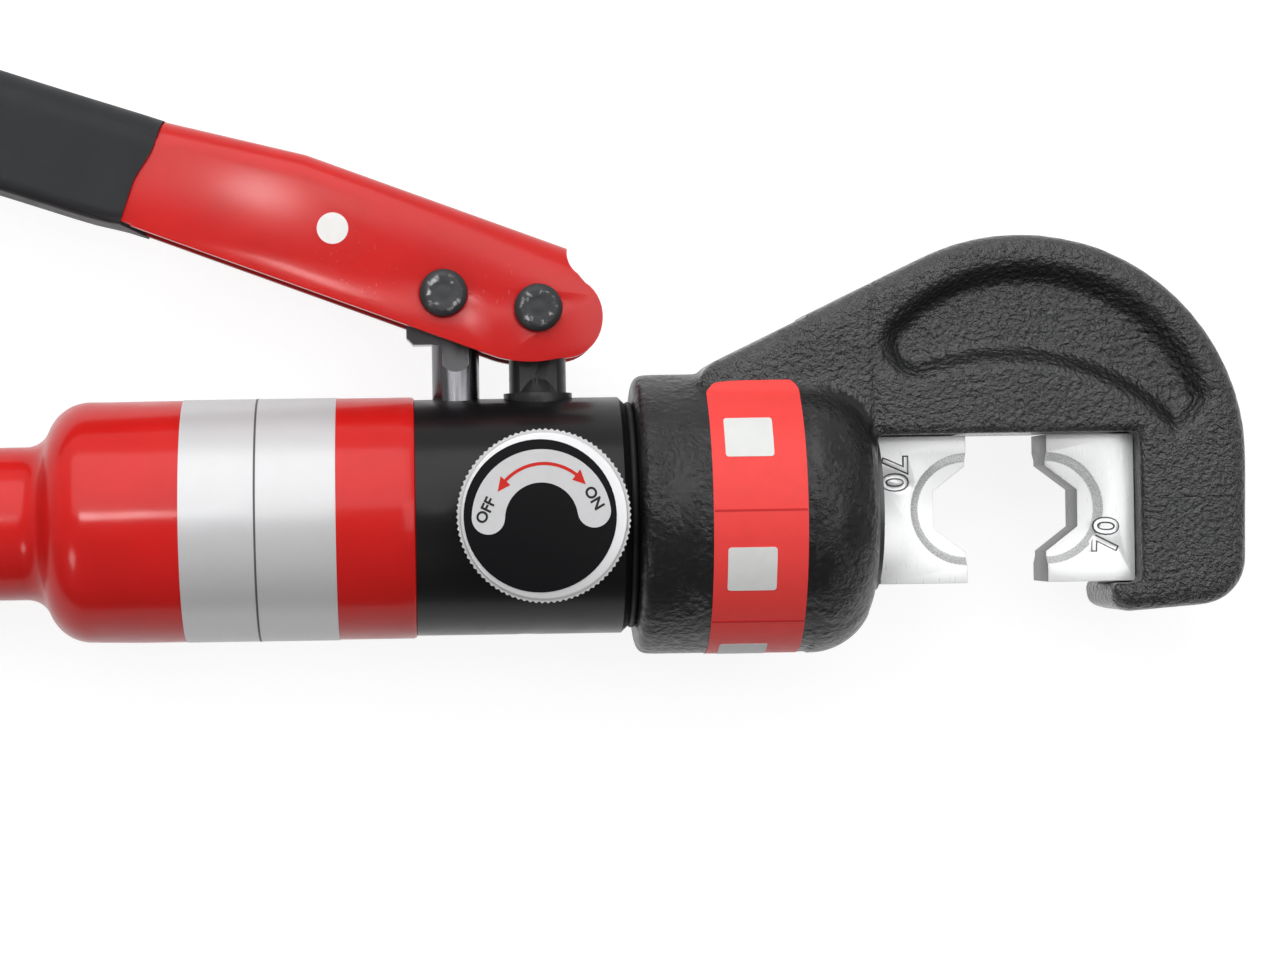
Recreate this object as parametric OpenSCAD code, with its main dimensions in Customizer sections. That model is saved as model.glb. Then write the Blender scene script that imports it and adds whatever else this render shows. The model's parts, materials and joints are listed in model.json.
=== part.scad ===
// Hand pumped hydraulic crimping tool with a C head and exchangeable dies.
// Millimetres. +X runs along the ram towards the jaw, +Y towards the pump lever,
// +Z towards the release knob. The origin is the middle of the fixed die's face.

/* [Output] */
// Node to build, or all

/* [Dies] */
// Opening between the dies with the ram back
die_gap = 15.2; // [14.5:0.1:16]
// Depth of a die along the ram
die_depth = 16.4; // [15.5:0.1:17]
// Height of a die across the throat
die_height = 27.7; // [27:0.1:28.2]
// Thickness of a die along the cable
die_thickness = 15; // [13:0.5:18]
// Width of the hexagon half at the die face
hex_mouth = 16.2; // [16:0.1:16.4]
// Width of the flat at the bottom of the hexagon half
hex_floor = 7; // [6.8:0.1:7.2]
// Depth of the hexagon half
hex_depth = 6; // [5.8:0.1:6.2]
// Diameter of the flare around the hexagon, outside
flare_mouth_d = 21; // [20.5:0.1:21.5]
// Diameter of the flare around the hexagon, inside
flare_floor_d = 18; // [17.8:0.1:18.2]
// Depth of the flare
flare_depth = 1.8; // [1.75:0.05:1.85]
// Diameter of a die stem
stem_d = 8; // [7.8:0.1:8.2]
// Length of a die stem
stem_len = 7; // [6.8:0.1:7.2]
// Wire diameter of the die retaining rings
stem_ring_wire = 1.4; // [1.35:0.05:1.45]
// Distance of a retaining ring from the end of its stem
die_ring_inset = 2; // [1.9:0.05:2.1]
// Gap between the dies when the ram is out
closed_gap = 0.3; // [0.2:0.1:0.5]

/* [Head] */
// Thickness of the C plate
plate_thickness = 27; // [25:0.5:30]
// Rounding of the plate edges
edge_round = 2.4; // [2.3:0.05:2.5]
// Radius of the back of the C
back_radius = 41.8; // [40:0.2:43]
// Wall behind the fixed die
back_wall = 20; // [19:0.5:21]
// Height of the arm above the throat
arm_height = 37; // [36:0.5:38]
// Thickness of the hook lip
lip_thickness = 5.1; // [4.5:0.1:6]
// Reach of the hook lip under the fixed die
lip_reach = 5.3; // [5.2:0.05:5.4]
// Radius of the end of the hook
lip_r = 3.3; // [3:0.1:3.5]
// Radius of the lower corner of the hook
corner_r = 8.5; // [8:0.1:9]
// Depth of the crescent pockets
pocket_depth = 3.5; // [1:0.5:4]
// Margin between the crescent and the back of the C
pocket_margin = 5.6; // [5.5:0.05:5.7]
// Radius of the outer side of the crescent
pocket_r = 35.8; // [35.6:0.1:36]
// Diameter of the collar
collar_d = 53; // [52:0.5:56]
// Length of the collar
collar_len = 45.1; // [44:0.1:48]
// Rounding of the collar nose
nose_round = 12; // [11.8:0.1:12.2]
// Rounding of the collar rim
rim_round = 2; // [1.9:0.05:2.1]
// Thickness of the collar wall in front of the cylinder
nose_wall = 13; // [12.8:0.1:13.2]

/* [Ram] */
// Diameter of the ram
ram_d = 30; // [28:0.5:31]
// Length of the ram
ram_len = 55; // [54:0.5:56]
// How far the ram stands out of the collar at rest
ram_proud = 0.8; // [0.6:0.1:1]
// Solid front of the ram
ram_front = 12; // [11.8:0.1:12.2]
// Diameter of the spring room in the ram
spring_room_d = 19; // [18.8:0.1:19.2]
// Outer diameter of the ram nut
ram_nut_d = 22; // [21.5:0.1:22.5]
// Length of the ram nut
ram_nut_len = 5; // [4.9:0.05:5.1]
// Width of the ram seal
ram_seal_w = 3.5; // [3.4:0.05:3.6]
// Depth of the ram seal groove
ram_seal_depth = 2.5; // [2.4:0.05:2.6]
// Width of the ram backup ring
backup_w = 1.5; // [1.45:0.05:1.55]

/* [Return spring] */
// Wire diameter of the return spring
return_wire = 2; // [1.9:0.05:2.1]
// Mean diameter of the return spring
return_mean_d = 15; // [14.8:0.1:15.2]
// Turns of the return spring
return_turns = 7; // [6:0.5:8]
// Diameter of the spring bolt
bolt_d = 6; // [5.8:0.1:6.2]
// Diameter of the spring bolt head
bolt_head_d = 16; // [15.8:0.1:16.2]
// Thickness of the spring bolt head
bolt_head_len = 4; // [3.9:0.05:4.1]
// Room between the bolt head and the front of the spring room
bolt_room = 2; // [1.9:0.05:2.1]
// Depth of the bolt thread in the body
bolt_thread = 8.5; // [8.3:0.1:8.7]

/* [Pump body] */
// Diameter of the pump body
body_d = 44.8; // [44:0.2:47]
// Length of the pump body
body_len = 39.7; // [39:0.1:42]
// Chamfer on the front of the body
body_chamfer = 1.2; // [1.15:0.05:1.25]
// Gap between the body and the collar
swivel_gap = 1.5; // [1.45:0.05:1.55]
// Diameter of the front spigot in the collar
spigot_d = 40; // [39:0.2:42]
// Distance from the spigot end to the collar nose wall
spigot_play = 0.5; // [0.45:0.05:0.55]
// Bore behind the ram at rest
bore_play = 0.8; // [0.75:0.05:0.85]
// Wire diameter of the swivel ring
swivel_wire = 2.4; // [2.3:0.05:2.5]
// Distance of the swivel ring from the collar rim
swivel_inset = 12; // [11.8:0.1:12.2]
// Wire diameter of the dust ring
dust_wire = 1.4; // [1.35:0.05:1.45]

/* [Pump valves] */
// Drop of the valve line below the ram axis
valve_drop = 7.5; // [7.3:0.1:7.7]
// Diameter of the valve bores
valve_bore_d = 6; // [5.8:0.1:6.2]
// Diameter of the valve seat holes
seat_hole_d = 2.6; // [2.5:0.05:2.7]
// Diameter of the suction and delivery balls
ball_d = 5; // [4.9:0.05:5.1]
// Diameter of the relief ball
relief_ball_d = 4; // [3.9:0.05:4.1]
// Length of the suction seat plug
suction_plug_len = 6; // [5.8:0.1:6.2]
// Length of the delivery plug
delivery_plug_len = 5; // [4.9:0.05:5.1]
// Free room for a valve spring
valve_spring_len = 4.4; // [4.3:0.05:4.5]
// Wire diameter of the valve springs
valve_wire = 0.7; // [0.65:0.05:0.75]
// Mean diameter of the valve springs
valve_mean_d = 3.4; // [3.3:0.05:3.5]
// Turns of the valve springs
valve_turns = 3.5; // [3.4:0.05:3.6]
// Depth of the relief screw
relief_screw_len = 3.6; // [3.5:0.05:3.7]

/* [Plunger] */
// Distance of the plunger from the rear of the body
plunger_inset = 7.95; // [7.75:0.1:8.15]
// Diameter of the plunger
plunger_d = 9; // [8.5:0.1:9.5]
// Depth of the plunger foot below the ram axis at rest
plunger_foot = 1; // [0.95:0.05:1.05]
// Bottom of the plunger bore below the ram axis
plunger_bottom = 9.5; // [9.3:0.1:9.7]
// Width of the eye block
eye_width = 13.5; // [13.3:0.1:13.7]
// Thickness of the eye block
eye_thickness = 7.5; // [7.3:0.1:7.7]
// Height of the eye block's underside above the body
eye_rise = 10.3; // [10.1:0.1:10.5]
// Offset of the plunger pin from the plunger axis
eye_offset = 2.15; // [2.05:0.05:2.25]
// Bottom of the milled flats above the body
flat_rise = 5.1; // [5:0.05:5.2]
// Depth of the plunger seal below the top of the body
plunger_seal_depth = 5; // [4.9:0.05:5.1]
// Section of the plunger seal
plunger_seal_wire = 2; // [1.9:0.05:2.1]

/* [Lever] */
// Distance from the plunger to the fulcrum
pivot_spacing = 15.55; // [15.35:0.1:15.75]
// Height of the fulcrum above the body
fulcrum_rise = 16.6; // [16:0.1:18]
// Height of the plunger pin above the fulcrum
pin_rise = 3; // [2.9:0.05:3.1]
// Angle of the lever to the ram axis at rest
lever_angle = 20.6; // [20:0.1:21]
// Angle between the front and the grip part of the lever
grip_bend = 2.4; // [2:0.1:3]
// Width of the lever channel
channel_width = 18.5; // [17:0.5:20]
// Sheet thickness of the lever channel
sheet = 3; // [2.5:0.1:3.2]
// Outer rounding of the channel back
channel_round = 5; // [4.9:0.05:5.1]
// Channel above the fulcrum
channel_above = 11.8; // [11.6:0.1:12]
// Channel below the fulcrum
channel_below = 11.3; // [11.1:0.1:11.5]
// Length of the deep front part behind the fulcrum
front_len = 51; // [50.5:0.1:51.5]
// Length of the tapered part
taper_len = 27; // [26.5:0.1:27.5]
// Height of the channel inside the grip
grip_channel_height = 20; // [19.8:0.1:20.2]
// Length of the grip part
grip_len = 110; // [100:1:120]
// Wall of the lever grip sleeve
sleeve_wall = 1; // [0.95:0.05:1.05]
// Closed end of the lever grip sleeve
sleeve_end = 3; // [2.9:0.05:3.1]
// Step of the channel under the sleeve
sleeve_step = 0.3; // [0.2:0.05:0.4]
// Radius of the lever nose
lever_nose_r = 7.3; // [7.1:0.1:7.5]
// Diameter of the lever pins
pin_d = 6; // [5:0.5:6.5]
// Diameter of the pin heads
pin_head_d = 9; // [8.8:0.1:9.2]
// Thickness of the pin heads
pin_head_len = 2.2; // [2.1:0.05:2.3]
// Thickness of the pin clips
clip_thickness = 0.8; // [0.75:0.05:0.85]
// Diameter of the pin clips
clip_d = 10; // [9.8:0.1:10.2]
// Length of a pin past its clip
pin_tail = 1.2; // [1.15:0.05:1.25]

/* [Fulcrum post] */
// Diameter of the fulcrum post
post_d = 10.8; // [10.6:0.1:11]
// Thickness of the post tongue
tongue_thickness = 8.2; // [8:0.1:8.4]
// Diameter of the post flange
post_flange_d = 13; // [12.8:0.1:13.2]
// Thickness of the post flange
post_flange_len = 2; // [1.9:0.05:2.1]
// Height of the post shoulder above the flange
post_shoulder = 3; // [2.9:0.05:3.1]
// Diameter of the post thread
post_thread_d = 8; // [7.8:0.1:8.2]
// Length of the post thread
post_thread_len = 9; // [8.8:0.1:9.2]

/* [Release valve] */
// Distance of the release valve from the rear of the body
release_inset = 23.1; // [22.6:0.1:23.6]
// Diameter over the knob knurl
knob_d = 31.6; // [30:0.2:34]
// Diameter of the knob face
knob_face_d = 30.2; // [29.7:0.1:30.7]
// Height of the knob
knob_height = 10.5; // [9:0.5:13]
// Gap under the knob
knob_gap = 0.6; // [0.55:0.05:0.65]
// Number of knurl teeth
knurl_teeth = 90; // [80:1:100]
// Depth of the knurl
knurl_depth = 0.35; // [0.3:0.05:0.4]
// Diameter of the spindle
spindle_d = 10; // [9.8:0.1:10.2]
// Diameter of the spindle end in the knob
spindle_end_d = 7; // [6.8:0.1:7.2]
// Height of the valve floor above the ram axis
release_floor = 7; // [6.8:0.1:7.2]
// Depth of the spindle seal below the crest of the body
spindle_seal_depth = 6; // [5.8:0.1:6.2]
// Section of the spindle seal
spindle_seal_wire = 1.6; // [1.55:0.05:1.65]
// Diameter of the knob screw head
knob_screw_head_d = 8; // [7.8:0.1:8.2]

/* [Reservoir and fixed grip] */
// Diameter of the reservoir
barrel_d = 45.8; // [45:0.2:48]
// Length of the straight barrel
barrel_len = 61.3; // [58:0.5:66]
// Convex radius of the shoulder
shoulder_round = 8.5; // [8.3:0.1:8.7]
// Concave radius of the neck
neck_round = 5; // [4.9:0.05:5.1]
// Diameter of the neck
neck_d = 29; // [28:0.5:30]
// Visible length of the neck
neck_len = 11; // [10.8:0.1:11.2]
// Step from the neck down to the tube in the grip
tube_step = 1; // [0.95:0.05:1.05]
// Wall of the tube in the grip
tube_wall = 2.5; // [2.4:0.05:2.6]
// Length of the fixed grip
handle_grip_len = 81; // [75:1:95]
// Wall of the fixed grip
handle_wall = 2.47; // [2.37:0.05:2.57]
// Closed end of the fixed grip
handle_end = 4; // [3.9:0.05:4.1]
// Wall of the barrel at its mouth
barrel_wall = 2.87; // [2.77:0.05:2.97]
// Length of the rear spigot
rear_spigot_len = 12; // [11.8:0.1:12.2]
// Step from the rear spigot down to the bladder stub
stub_step = 7; // [6.8:0.1:7.2]
// Length of the bladder stub
stub_len = 8; // [7.8:0.1:8.2]
// Room around the bladder
bladder_play = 2; // [1.9:0.05:2.1]
// Length of the bladder past the stub
bladder_len = 36; // [35.5:0.1:36.5]
// Wall of the bladder
bladder_wall = 2; // [1.9:0.05:2.1]
// Wire diameter of the bladder clip
bladder_clip_wire = 1.6; // [1.55:0.05:1.65]
// Section of the reservoir ring seal
barrel_ring_wire = 1.8; // [1.75:0.05:1.85]

/* [Fits] */
// Radial clearance of a running fit
run = 0.05; // [0.04:0.01:0.06]
// Radial clearance of a thread or a pushed fit
seat = 0.03; // [0.02:0.01:0.04]
// Clearance of a ball on its seat
ball_play = 0.02; // [0.01:0.01:0.03]
// Side clearance of a die in the throat
die_play = 0.3; // [0.25:0.05:0.4]
// Clearance behind the fixed die
die_seat_play = 0.1; // [0.05:0.05:0.15]
// Extra height of the plunger slot
slot_play = 0.5; // [0.45:0.05:0.6]
// Clearance of a washer between lever and post
washer_play = 0.15; // [0.1:0.05:0.2]

/* [Hidden] */
$fn = 96;
over = 1;

throat_top = die_height / 2 + die_play;
seat_x = die_depth + die_seat_play;
lip_x = seat_x - lip_reach;
head_right = seat_x + back_wall;
head_top = throat_top + arm_height;
back_x = head_right - back_radius;
back_y = head_top - back_radius;
head_low = throat_top + lip_thickness;

die_ring_x = die_depth + stem_len - die_ring_inset;
ram_travel = die_gap - closed_gap;
ram_face = -die_gap - die_depth;
ram_rear = ram_face - ram_len;
collar_front = ram_face - ram_proud;
collar_rear = collar_front - collar_len;
body_front = collar_rear - swivel_gap;
body_rear = body_front - body_len;
body_r = body_d / 2;
nose_inner = collar_front - nose_wall;
spigot_end = nose_inner - spigot_play;
bore_bottom = ram_rear - bore_play;
swivel_x = collar_rear + swivel_inset;

spring_room_front = ram_face - ram_front;
nut_front = ram_rear + ram_nut_len;
bolt_head_x = spring_room_front - bolt_room - bolt_head_len;
seal_x = nut_front + 1.5;
backup_x = seal_x + ram_seal_w;

plunger_x = body_rear + plunger_inset;
fulcrum_x = plunger_x + pivot_spacing;
fulcrum_y = body_r + fulcrum_rise;
pin_x = plunger_x - eye_offset;
pin_y = fulcrum_y + pin_rise;
arm_x = pin_x - fulcrum_x;
pin_lever_x = arm_x * cos(lever_angle) - pin_rise * sin(lever_angle);
pin_lever_y = arm_x * sin(lever_angle) + pin_rise * cos(lever_angle);
eye_low = body_r + eye_rise;
eye_mid = plunger_x + plunger_d / 2 - eye_width / 2 - 0.25;
cheek_in = channel_width / 2 - sheet;
washer_len = cheek_in - tongue_thickness / 2 - 2 * washer_play;

release_x = body_rear + release_inset;
knob_low = body_r + knob_gap;
knob_top = knob_low + knob_height;
spindle_top = knob_top - 4.5;
stub_end = body_rear - rear_spigot_len - stub_len;

chamber_left = plunger_x - plunger_d / 2 - run;
chamber_right = plunger_x + plunger_d / 2 + run;
ball_rise = sqrt(pow(ball_d / 2, 2) - pow(seat_hole_d / 2, 2)) + ball_play;
suction_step = chamber_left - 1.2;
suction_ball_x = suction_step - valve_spring_len - ball_d / 2;
suction_face = suction_ball_x - ball_rise;
delivery_face = chamber_right + 1;
delivery_ball_x = delivery_face + ball_rise;
delivery_spring_x = delivery_ball_x + ball_d / 2;
delivery_plug_x = delivery_spring_x + valve_spring_len;
relief_x = delivery_plug_x - 2;
relief_rise = sqrt(pow(relief_ball_d / 2, 2) - pow(seat_hole_d / 2, 2)) + ball_play;
relief_face = -valve_drop - valve_bore_d / 2 - 1.2;
relief_ball_y = relief_face - relief_rise;
relief_spring_y = relief_ball_y - relief_ball_d / 2;
relief_bore_d = relief_ball_d + 1;
relief_flat = -sqrt(pow(body_r, 2) - pow(relief_bore_d / 2, 2));
relief_screw_y = relief_flat + relief_screw_len;

rear_spigot_d = barrel_d - 2 * (barrel_wall + seat);
stub_d = rear_spigot_d - 2 * stub_step;
bladder_d = rear_spigot_d - 2 * bladder_play;
tube_d = neck_d - 2 * tube_step;
tube_bore = tube_d - 2 * tube_wall;
handle_grip_d = tube_d + 2 * (handle_wall + seat);
barrel_end = body_rear - barrel_len;
shoulder_turn = acos(1 - (barrel_d - neck_d) / 2 / (shoulder_round + neck_round));
shoulder_len = (shoulder_round + neck_round) * sin(shoulder_turn);
neck_x = barrel_end - shoulder_len;
grip_front = neck_x - neck_len;
grip_tail = grip_front - handle_grip_len;

BLACK = [0.09, 0.09, 0.1];
CAST = [0.16, 0.16, 0.17];
RED = [0.75, 0.08, 0.07];
STEEL = [0.72, 0.73, 0.75];
BRIGHT = [0.86, 0.87, 0.88];
DARK = [0.28, 0.29, 0.3];
RUBBER = [0.05, 0.05, 0.05];
BRASS = [0.78, 0.6, 0.25];
POLYMER = [0.85, 0.83, 0.76];
SLEEVE = [0.13, 0.13, 0.14];
ALUMINIUM = [0.82, 0.82, 0.83];

// A cylinder along X, from x0 to x1
module rod_x(x0, x1, d) {
    translate([x0, 0, 0]) rotate([0, 90, 0]) cylinder(d = d, h = x1 - x0);
}

// A cylinder along Y, from y0 to y1
module rod_y(y0, y1, d) {
    translate([0, y0, 0]) rotate([-90, 0, 0]) cylinder(d = d, h = y1 - y0);
}

// A cylinder along Z, from z0 to z1
module rod_z(z0, z1, d) {
    translate([0, 0, z0]) cylinder(d = d, h = z1 - z0);
}

// Turns an outline given as radius and X about the ram axis
module turned() {
    rotate([0, 90, 0]) rotate_extrude() children();
}

// A wire ring about Z
module wire_ring(mean_d, wire) {
    rotate_extrude() translate([mean_d / 2, 0]) circle(d = wire);
}

// A compression spring along Z from 0 to length
module coil(mean_d, wire, length, turns, around = 16, sides = 8) {
    steps = ceil(turns * around);
    rise = length - wire;
    function at(i, a) = let(
        turn = 360 * turns * i / steps,
        mid = wire / 2 + rise * i / steps,
        reach = mean_d / 2 + wire / 2 * cos(a))
        [reach * cos(turn), reach * sin(turn), mid + wire / 2 * sin(a)];
    points = [for (i = [0:steps], j = [0:sides - 1]) at(i, 360 * j / sides)];
    walls = [for (i = [0:steps - 1], j = [0:sides - 1])
        each let(
            a = i * sides + j,
            b = i * sides + (j + 1) % sides,
            c = a + sides,
            d = b + sides)
            [[a, b, d], [a, d, c]]];
    first = [[for (j = [0:sides - 1]) sides - 1 - j]];
    last = [[for (j = [0:sides - 1]) steps * sides + j]];
    polyhedron(points, concat(walls, first, last));
}

// Head
module plate_disc(x, y, r) {
    half = edge_round * (1 - cos(45));
    translate([x, y, 0]) {
        cylinder(r = r, h = plate_thickness - 2 * edge_round, center = true, $fn = 64);
        cylinder(r = r - half, h = plate_thickness - 2 * half, center = true, $fn = 64);
        cylinder(r = r - edge_round, h = plate_thickness, center = true, $fn = 64);
    }
}

// The upper half of the back arc
module back_disc() {
    intersection() {
        plate_disc(back_x, back_y, back_radius);
        translate([back_x - 2 * back_radius, back_y, -plate_thickness])
            cube([4 * back_radius, 2 * back_radius, 2 * plate_thickness]);
    }
}

module plate_solid() {
    hull() {
        back_disc();
        plate_disc(collar_rear + 19, collar_d / 2 - 5, 8);
        plate_disc(head_right - corner_r - 0.4, corner_r - head_low + 1, corner_r);
        plate_disc(lip_x + lip_r, lip_r - head_low, lip_r);
    }
}

module throat() {
    deep = plate_thickness + 2 * over;
    translate([0, 0, -deep / 2]) {
        linear_extrude(deep) polygon([
            [collar_front, throat_top],
            [seat_x, throat_top],
            [seat_x, -throat_top],
            [lip_x, -throat_top],
            [lip_x, -head_low - over],
            [collar_front, -head_low - over]]);
    }
}

module crescent() {
    mid_x = head_right - pocket_margin - pocket_r + 0.2;
    mid_y = head_top - pocket_margin - pocket_r;
    inner = pocket_r + 2.7;
    low_x = mid_x - 3;
    low_y = mid_y - 18.3;
    left = [low_x - 18, low_y + 41.2];
    right = [low_x + 34.2, low_y + 28.9];
    intersection() {
        difference() {
            translate([mid_x, mid_y]) circle(pocket_r);
            translate([low_x, low_y]) circle(inner);
        }
        polygon([[low_x, low_y], left + [-1.1, 0], left + [-1, 30], right + [0, 30], right + [0.4, 0.6]]);
    }
    translate(left) circle(4.3);
    translate(right) circle(2.6);
}

module collar_profile() {
    r = collar_d / 2;
    translate([0, collar_rear + rim_round]) square([r, collar_len - nose_round - rim_round]);
    translate([0, collar_rear]) square([r - rim_round, collar_len - nose_round]);
    translate([r - rim_round, collar_rear + rim_round]) circle(rim_round);
    translate([0, collar_front - nose_round - over]) square([r - nose_round, nose_round + over]);
    translate([r - nose_round, collar_front - nose_round]) circle(nose_round);
}

module c_head() {
    color(CAST) difference() {
        union() {
            difference() {
                plate_solid();
                throat();
                for (side = [-1, 1]) {
                    translate([0, 0, side * (plate_thickness / 2 - pocket_depth / 2 + over / 2)])
                        linear_extrude(pocket_depth + over, center = true) crescent();
                }
            }
            turned() collar_profile();
        }
        rod_x(collar_rear - over, nose_inner, spigot_d + 2 * run);
        rod_x(nose_inner - over, ram_face + ram_travel + over, ram_d + 2 * run);
        rod_x(seat_x - over, seat_x + stem_len + 0.5, stem_d + 2 * seat);
        translate([die_ring_x, 0, 0]) rotate([0, 90, 0])
            wire_ring(stem_d, stem_ring_wire + 2 * seat);
        translate([swivel_x, 0, 0]) rotate([0, 90, 0])
            wire_ring(spigot_d, swivel_wire + 2 * seat);
    }
}

module swivel_ring() {
    color(STEEL) translate([swivel_x, 0, 0]) rotate([0, 90, 0]) wire_ring(spigot_d, swivel_wire);
}

// Dies
module hex_half() {
    polygon([
        [-over, -hex_mouth / 2 - over * (hex_mouth - hex_floor) / 2 / hex_depth],
        [hex_depth, -hex_floor / 2],
        [hex_depth, hex_floor / 2],
        [-over, hex_mouth / 2 + over * (hex_mouth - hex_floor) / 2 / hex_depth]]);
}

// A die with its face at X = 0 and its body towards +X
module die() {
    difference() {
        union() {
            translate([0, -die_height / 2, -die_thickness / 2])
                cube([die_depth, die_height, die_thickness]);
            rod_x(die_depth - over, die_depth + stem_len, stem_d);
        }
        linear_extrude(die_thickness + 2 * over, center = true) hex_half();
        for (turn = [0, 180]) {
            rotate([turn, 0, 0]) translate([0, 0, die_thickness / 2 - flare_depth])
                cylinder(d1 = flare_floor_d, h = flare_depth, d2 = flare_mouth_d);
        }
        translate([die_ring_x, 0, 0]) rotate([0, 90, 0])
            wire_ring(stem_d, stem_ring_wire + 2 * seat);
    }
}

module fixed_die() {
    color(BRIGHT) die();
}

module fixed_die_ring() {
    color(DARK) translate([die_ring_x, 0, 0]) rotate([0, 90, 0])
        wire_ring(stem_d, stem_ring_wire);
}

module moving_die() {
    color(BRIGHT) translate([-die_gap, 0, 0]) rotate([0, 0, 180]) die();
}

module moving_die_ring() {
    color(DARK) translate([-die_gap - die_ring_x, 0, 0]) rotate([0, 90, 0])
        wire_ring(stem_d, stem_ring_wire);
}

// Ram
module ram() {
    color(STEEL) difference() {
        rod_x(ram_rear, ram_face, ram_d);
        rod_x(ram_rear - over, nut_front, ram_nut_d);
        rod_x(ram_rear, spring_room_front, spring_room_d);
        rod_x(ram_face - stem_len - 0.5, ram_face + over, stem_d + 2 * seat);
        translate([-die_gap - die_ring_x, 0, 0]) rotate([0, 90, 0])
            wire_ring(stem_d, stem_ring_wire + 2 * seat);
        difference() {
            rod_x(seal_x, backup_x + backup_w, ram_d + 2 * over);
            rod_x(seal_x - over, backup_x + backup_w + over, ram_d - 2 * ram_seal_depth);
        }
    }
}

module ram_seal() {
    color(RUBBER) difference() {
        rod_x(seal_x, backup_x, ram_d);
        rod_x(seal_x - over, backup_x + over, ram_d - 2 * ram_seal_depth + 2 * seat);
        difference() {
            rod_x(seal_x - over, seal_x + ram_seal_w / 2, ram_d - 1.6);
            rod_x(seal_x - 2 * over, backup_x, ram_d - 2 * ram_seal_depth + 1.6);
        }
    }
}

module backup_ring() {
    color(POLYMER) difference() {
        rod_x(backup_x, backup_x + backup_w, ram_d);
        rod_x(backup_x - over, backup_x + backup_w + over, ram_d - 2 * ram_seal_depth + 2 * seat);
    }
}

module ram_nut() {
    color(DARK) difference() {
        rod_x(ram_rear, nut_front, ram_nut_d - 2 * seat);
        rod_x(ram_rear - over, nut_front + over, bolt_d + 2);
        for (side = [-1, 1]) {
            translate([ram_rear - over, side * 7.5, 0]) rod_x(0, 3 + over, 2.5);
        }
    }
}

module spring_bolt() {
    color(DARK) difference() {
        union() {
            rod_x(bore_bottom - bolt_thread, bolt_head_x + over, bolt_d);
            rod_x(bolt_head_x, bolt_head_x + bolt_head_len, bolt_head_d);
        }
        translate([bolt_head_x + bolt_head_len - 2.5, 0, 0]) rotate([0, 90, 0])
            cylinder(d = 5.8, h = 2.5 + over, $fn = 6);
    }
}

module return_spring() {
    color(STEEL) translate([nut_front, 0, 0]) rotate([0, 90, 0])
        coil(return_mean_d, return_wire, bolt_head_x - nut_front, return_turns);
}

// Pump body
module body_profile() {
    translate([0, body_rear]) square([body_r, body_len - body_chamfer]);
    polygon([
        [0, body_front - body_chamfer - over],
        [body_r, body_front - body_chamfer - over],
        [body_r, body_front - body_chamfer],
        [body_r - body_chamfer, body_front],
        [0, body_front]]);
    translate([0, body_front - over]) square([spigot_d / 2, spigot_end - body_front + over]);
    translate([0, body_rear - rear_spigot_len])
        square([rear_spigot_d / 2, rear_spigot_len + over]);
    translate([0, stub_end]) square([stub_d / 2, stub_len + over]);
}

// Bores of the suction and delivery valves, on one line through the pump chamber
module valve_line() {
    translate([0, -valve_drop, 0]) {
        rod_x(stub_end - over, suction_step, valve_bore_d);
        rod_x(suction_step - over, delivery_face + over, seat_hole_d);
        rod_x(delivery_face, bore_bottom + over, valve_bore_d);
    }
}

module release_passages() {
    translate([0, 0, release_floor - 2]) rod_x(release_x, bore_bottom + over, 2);
    translate([release_x, 0, 0]) rod_z(release_floor - 3, release_floor + over, seat_hole_d);
    translate([0, 0, release_floor + 2]) rod_x(stub_end - over, release_x, 2.4);
}

module pump_body() {
    color(BLACK) difference() {
        turned() body_profile();
        rod_x(bore_bottom, spigot_end + over, ram_d + 2 * run);
        rod_x(bore_bottom - bolt_thread - 0.5, bore_bottom + over, bolt_d + 2 * seat);
        translate([swivel_x, 0, 0]) rotate([0, 90, 0])
            wire_ring(spigot_d, swivel_wire + 2 * seat);
        translate([plunger_x, 0, 0]) {
            rod_y(-plunger_bottom, body_r + over, plunger_d + 2 * run);
            translate([0, body_r - plunger_seal_depth, 0]) rotate([90, 0, 0])
                wire_ring(plunger_d + plunger_seal_wire, plunger_seal_wire + 2 * seat);
        }
        translate([fulcrum_x, 0, 0]) {
            rod_y(post_foot() - post_thread_len - 0.5, body_r, post_thread_d + 2 * seat);
            rod_y(post_foot(), body_r + over, post_flange_d + 0.4);
        }
        translate([release_x, 0, 0]) {
            rod_z(release_floor, body_r + over, spindle_d + 2 * run);
        }
        valve_line();
        release_passages();
        translate([relief_x, 0, 0]) {
            rod_y(-body_r - over, relief_face, relief_bore_d);
            rod_y(relief_face - over, -valve_drop, seat_hole_d);
        }
        translate([body_rear - rear_spigot_len + 4, 0, 0]) rotate([0, 90, 0])
            wire_ring(rear_spigot_d, barrel_ring_wire + 2 * seat);
    }
}

// Height of the flat under the post flange
function post_foot() = sqrt(pow(body_r, 2) - pow(post_flange_d / 2 + 0.2, 2)) - 0.1;

module dust_ring() {
    mid = (collar_rear + body_front) / 2;
    color(RUBBER) translate([mid, 0, 0]) rotate([0, 90, 0])
        wire_ring(spigot_d + dust_wire + 2 * seat, dust_wire);
}

module plunger_seal() {
    color(RUBBER) translate([plunger_x, body_r - plunger_seal_depth, 0]) rotate([90, 0, 0])
        difference() {
            wire_ring(plunger_d + plunger_seal_wire, plunger_seal_wire);
            rod_z(-plunger_seal_wire, plunger_seal_wire, plunger_d + 2 * run);
        }
}

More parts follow.
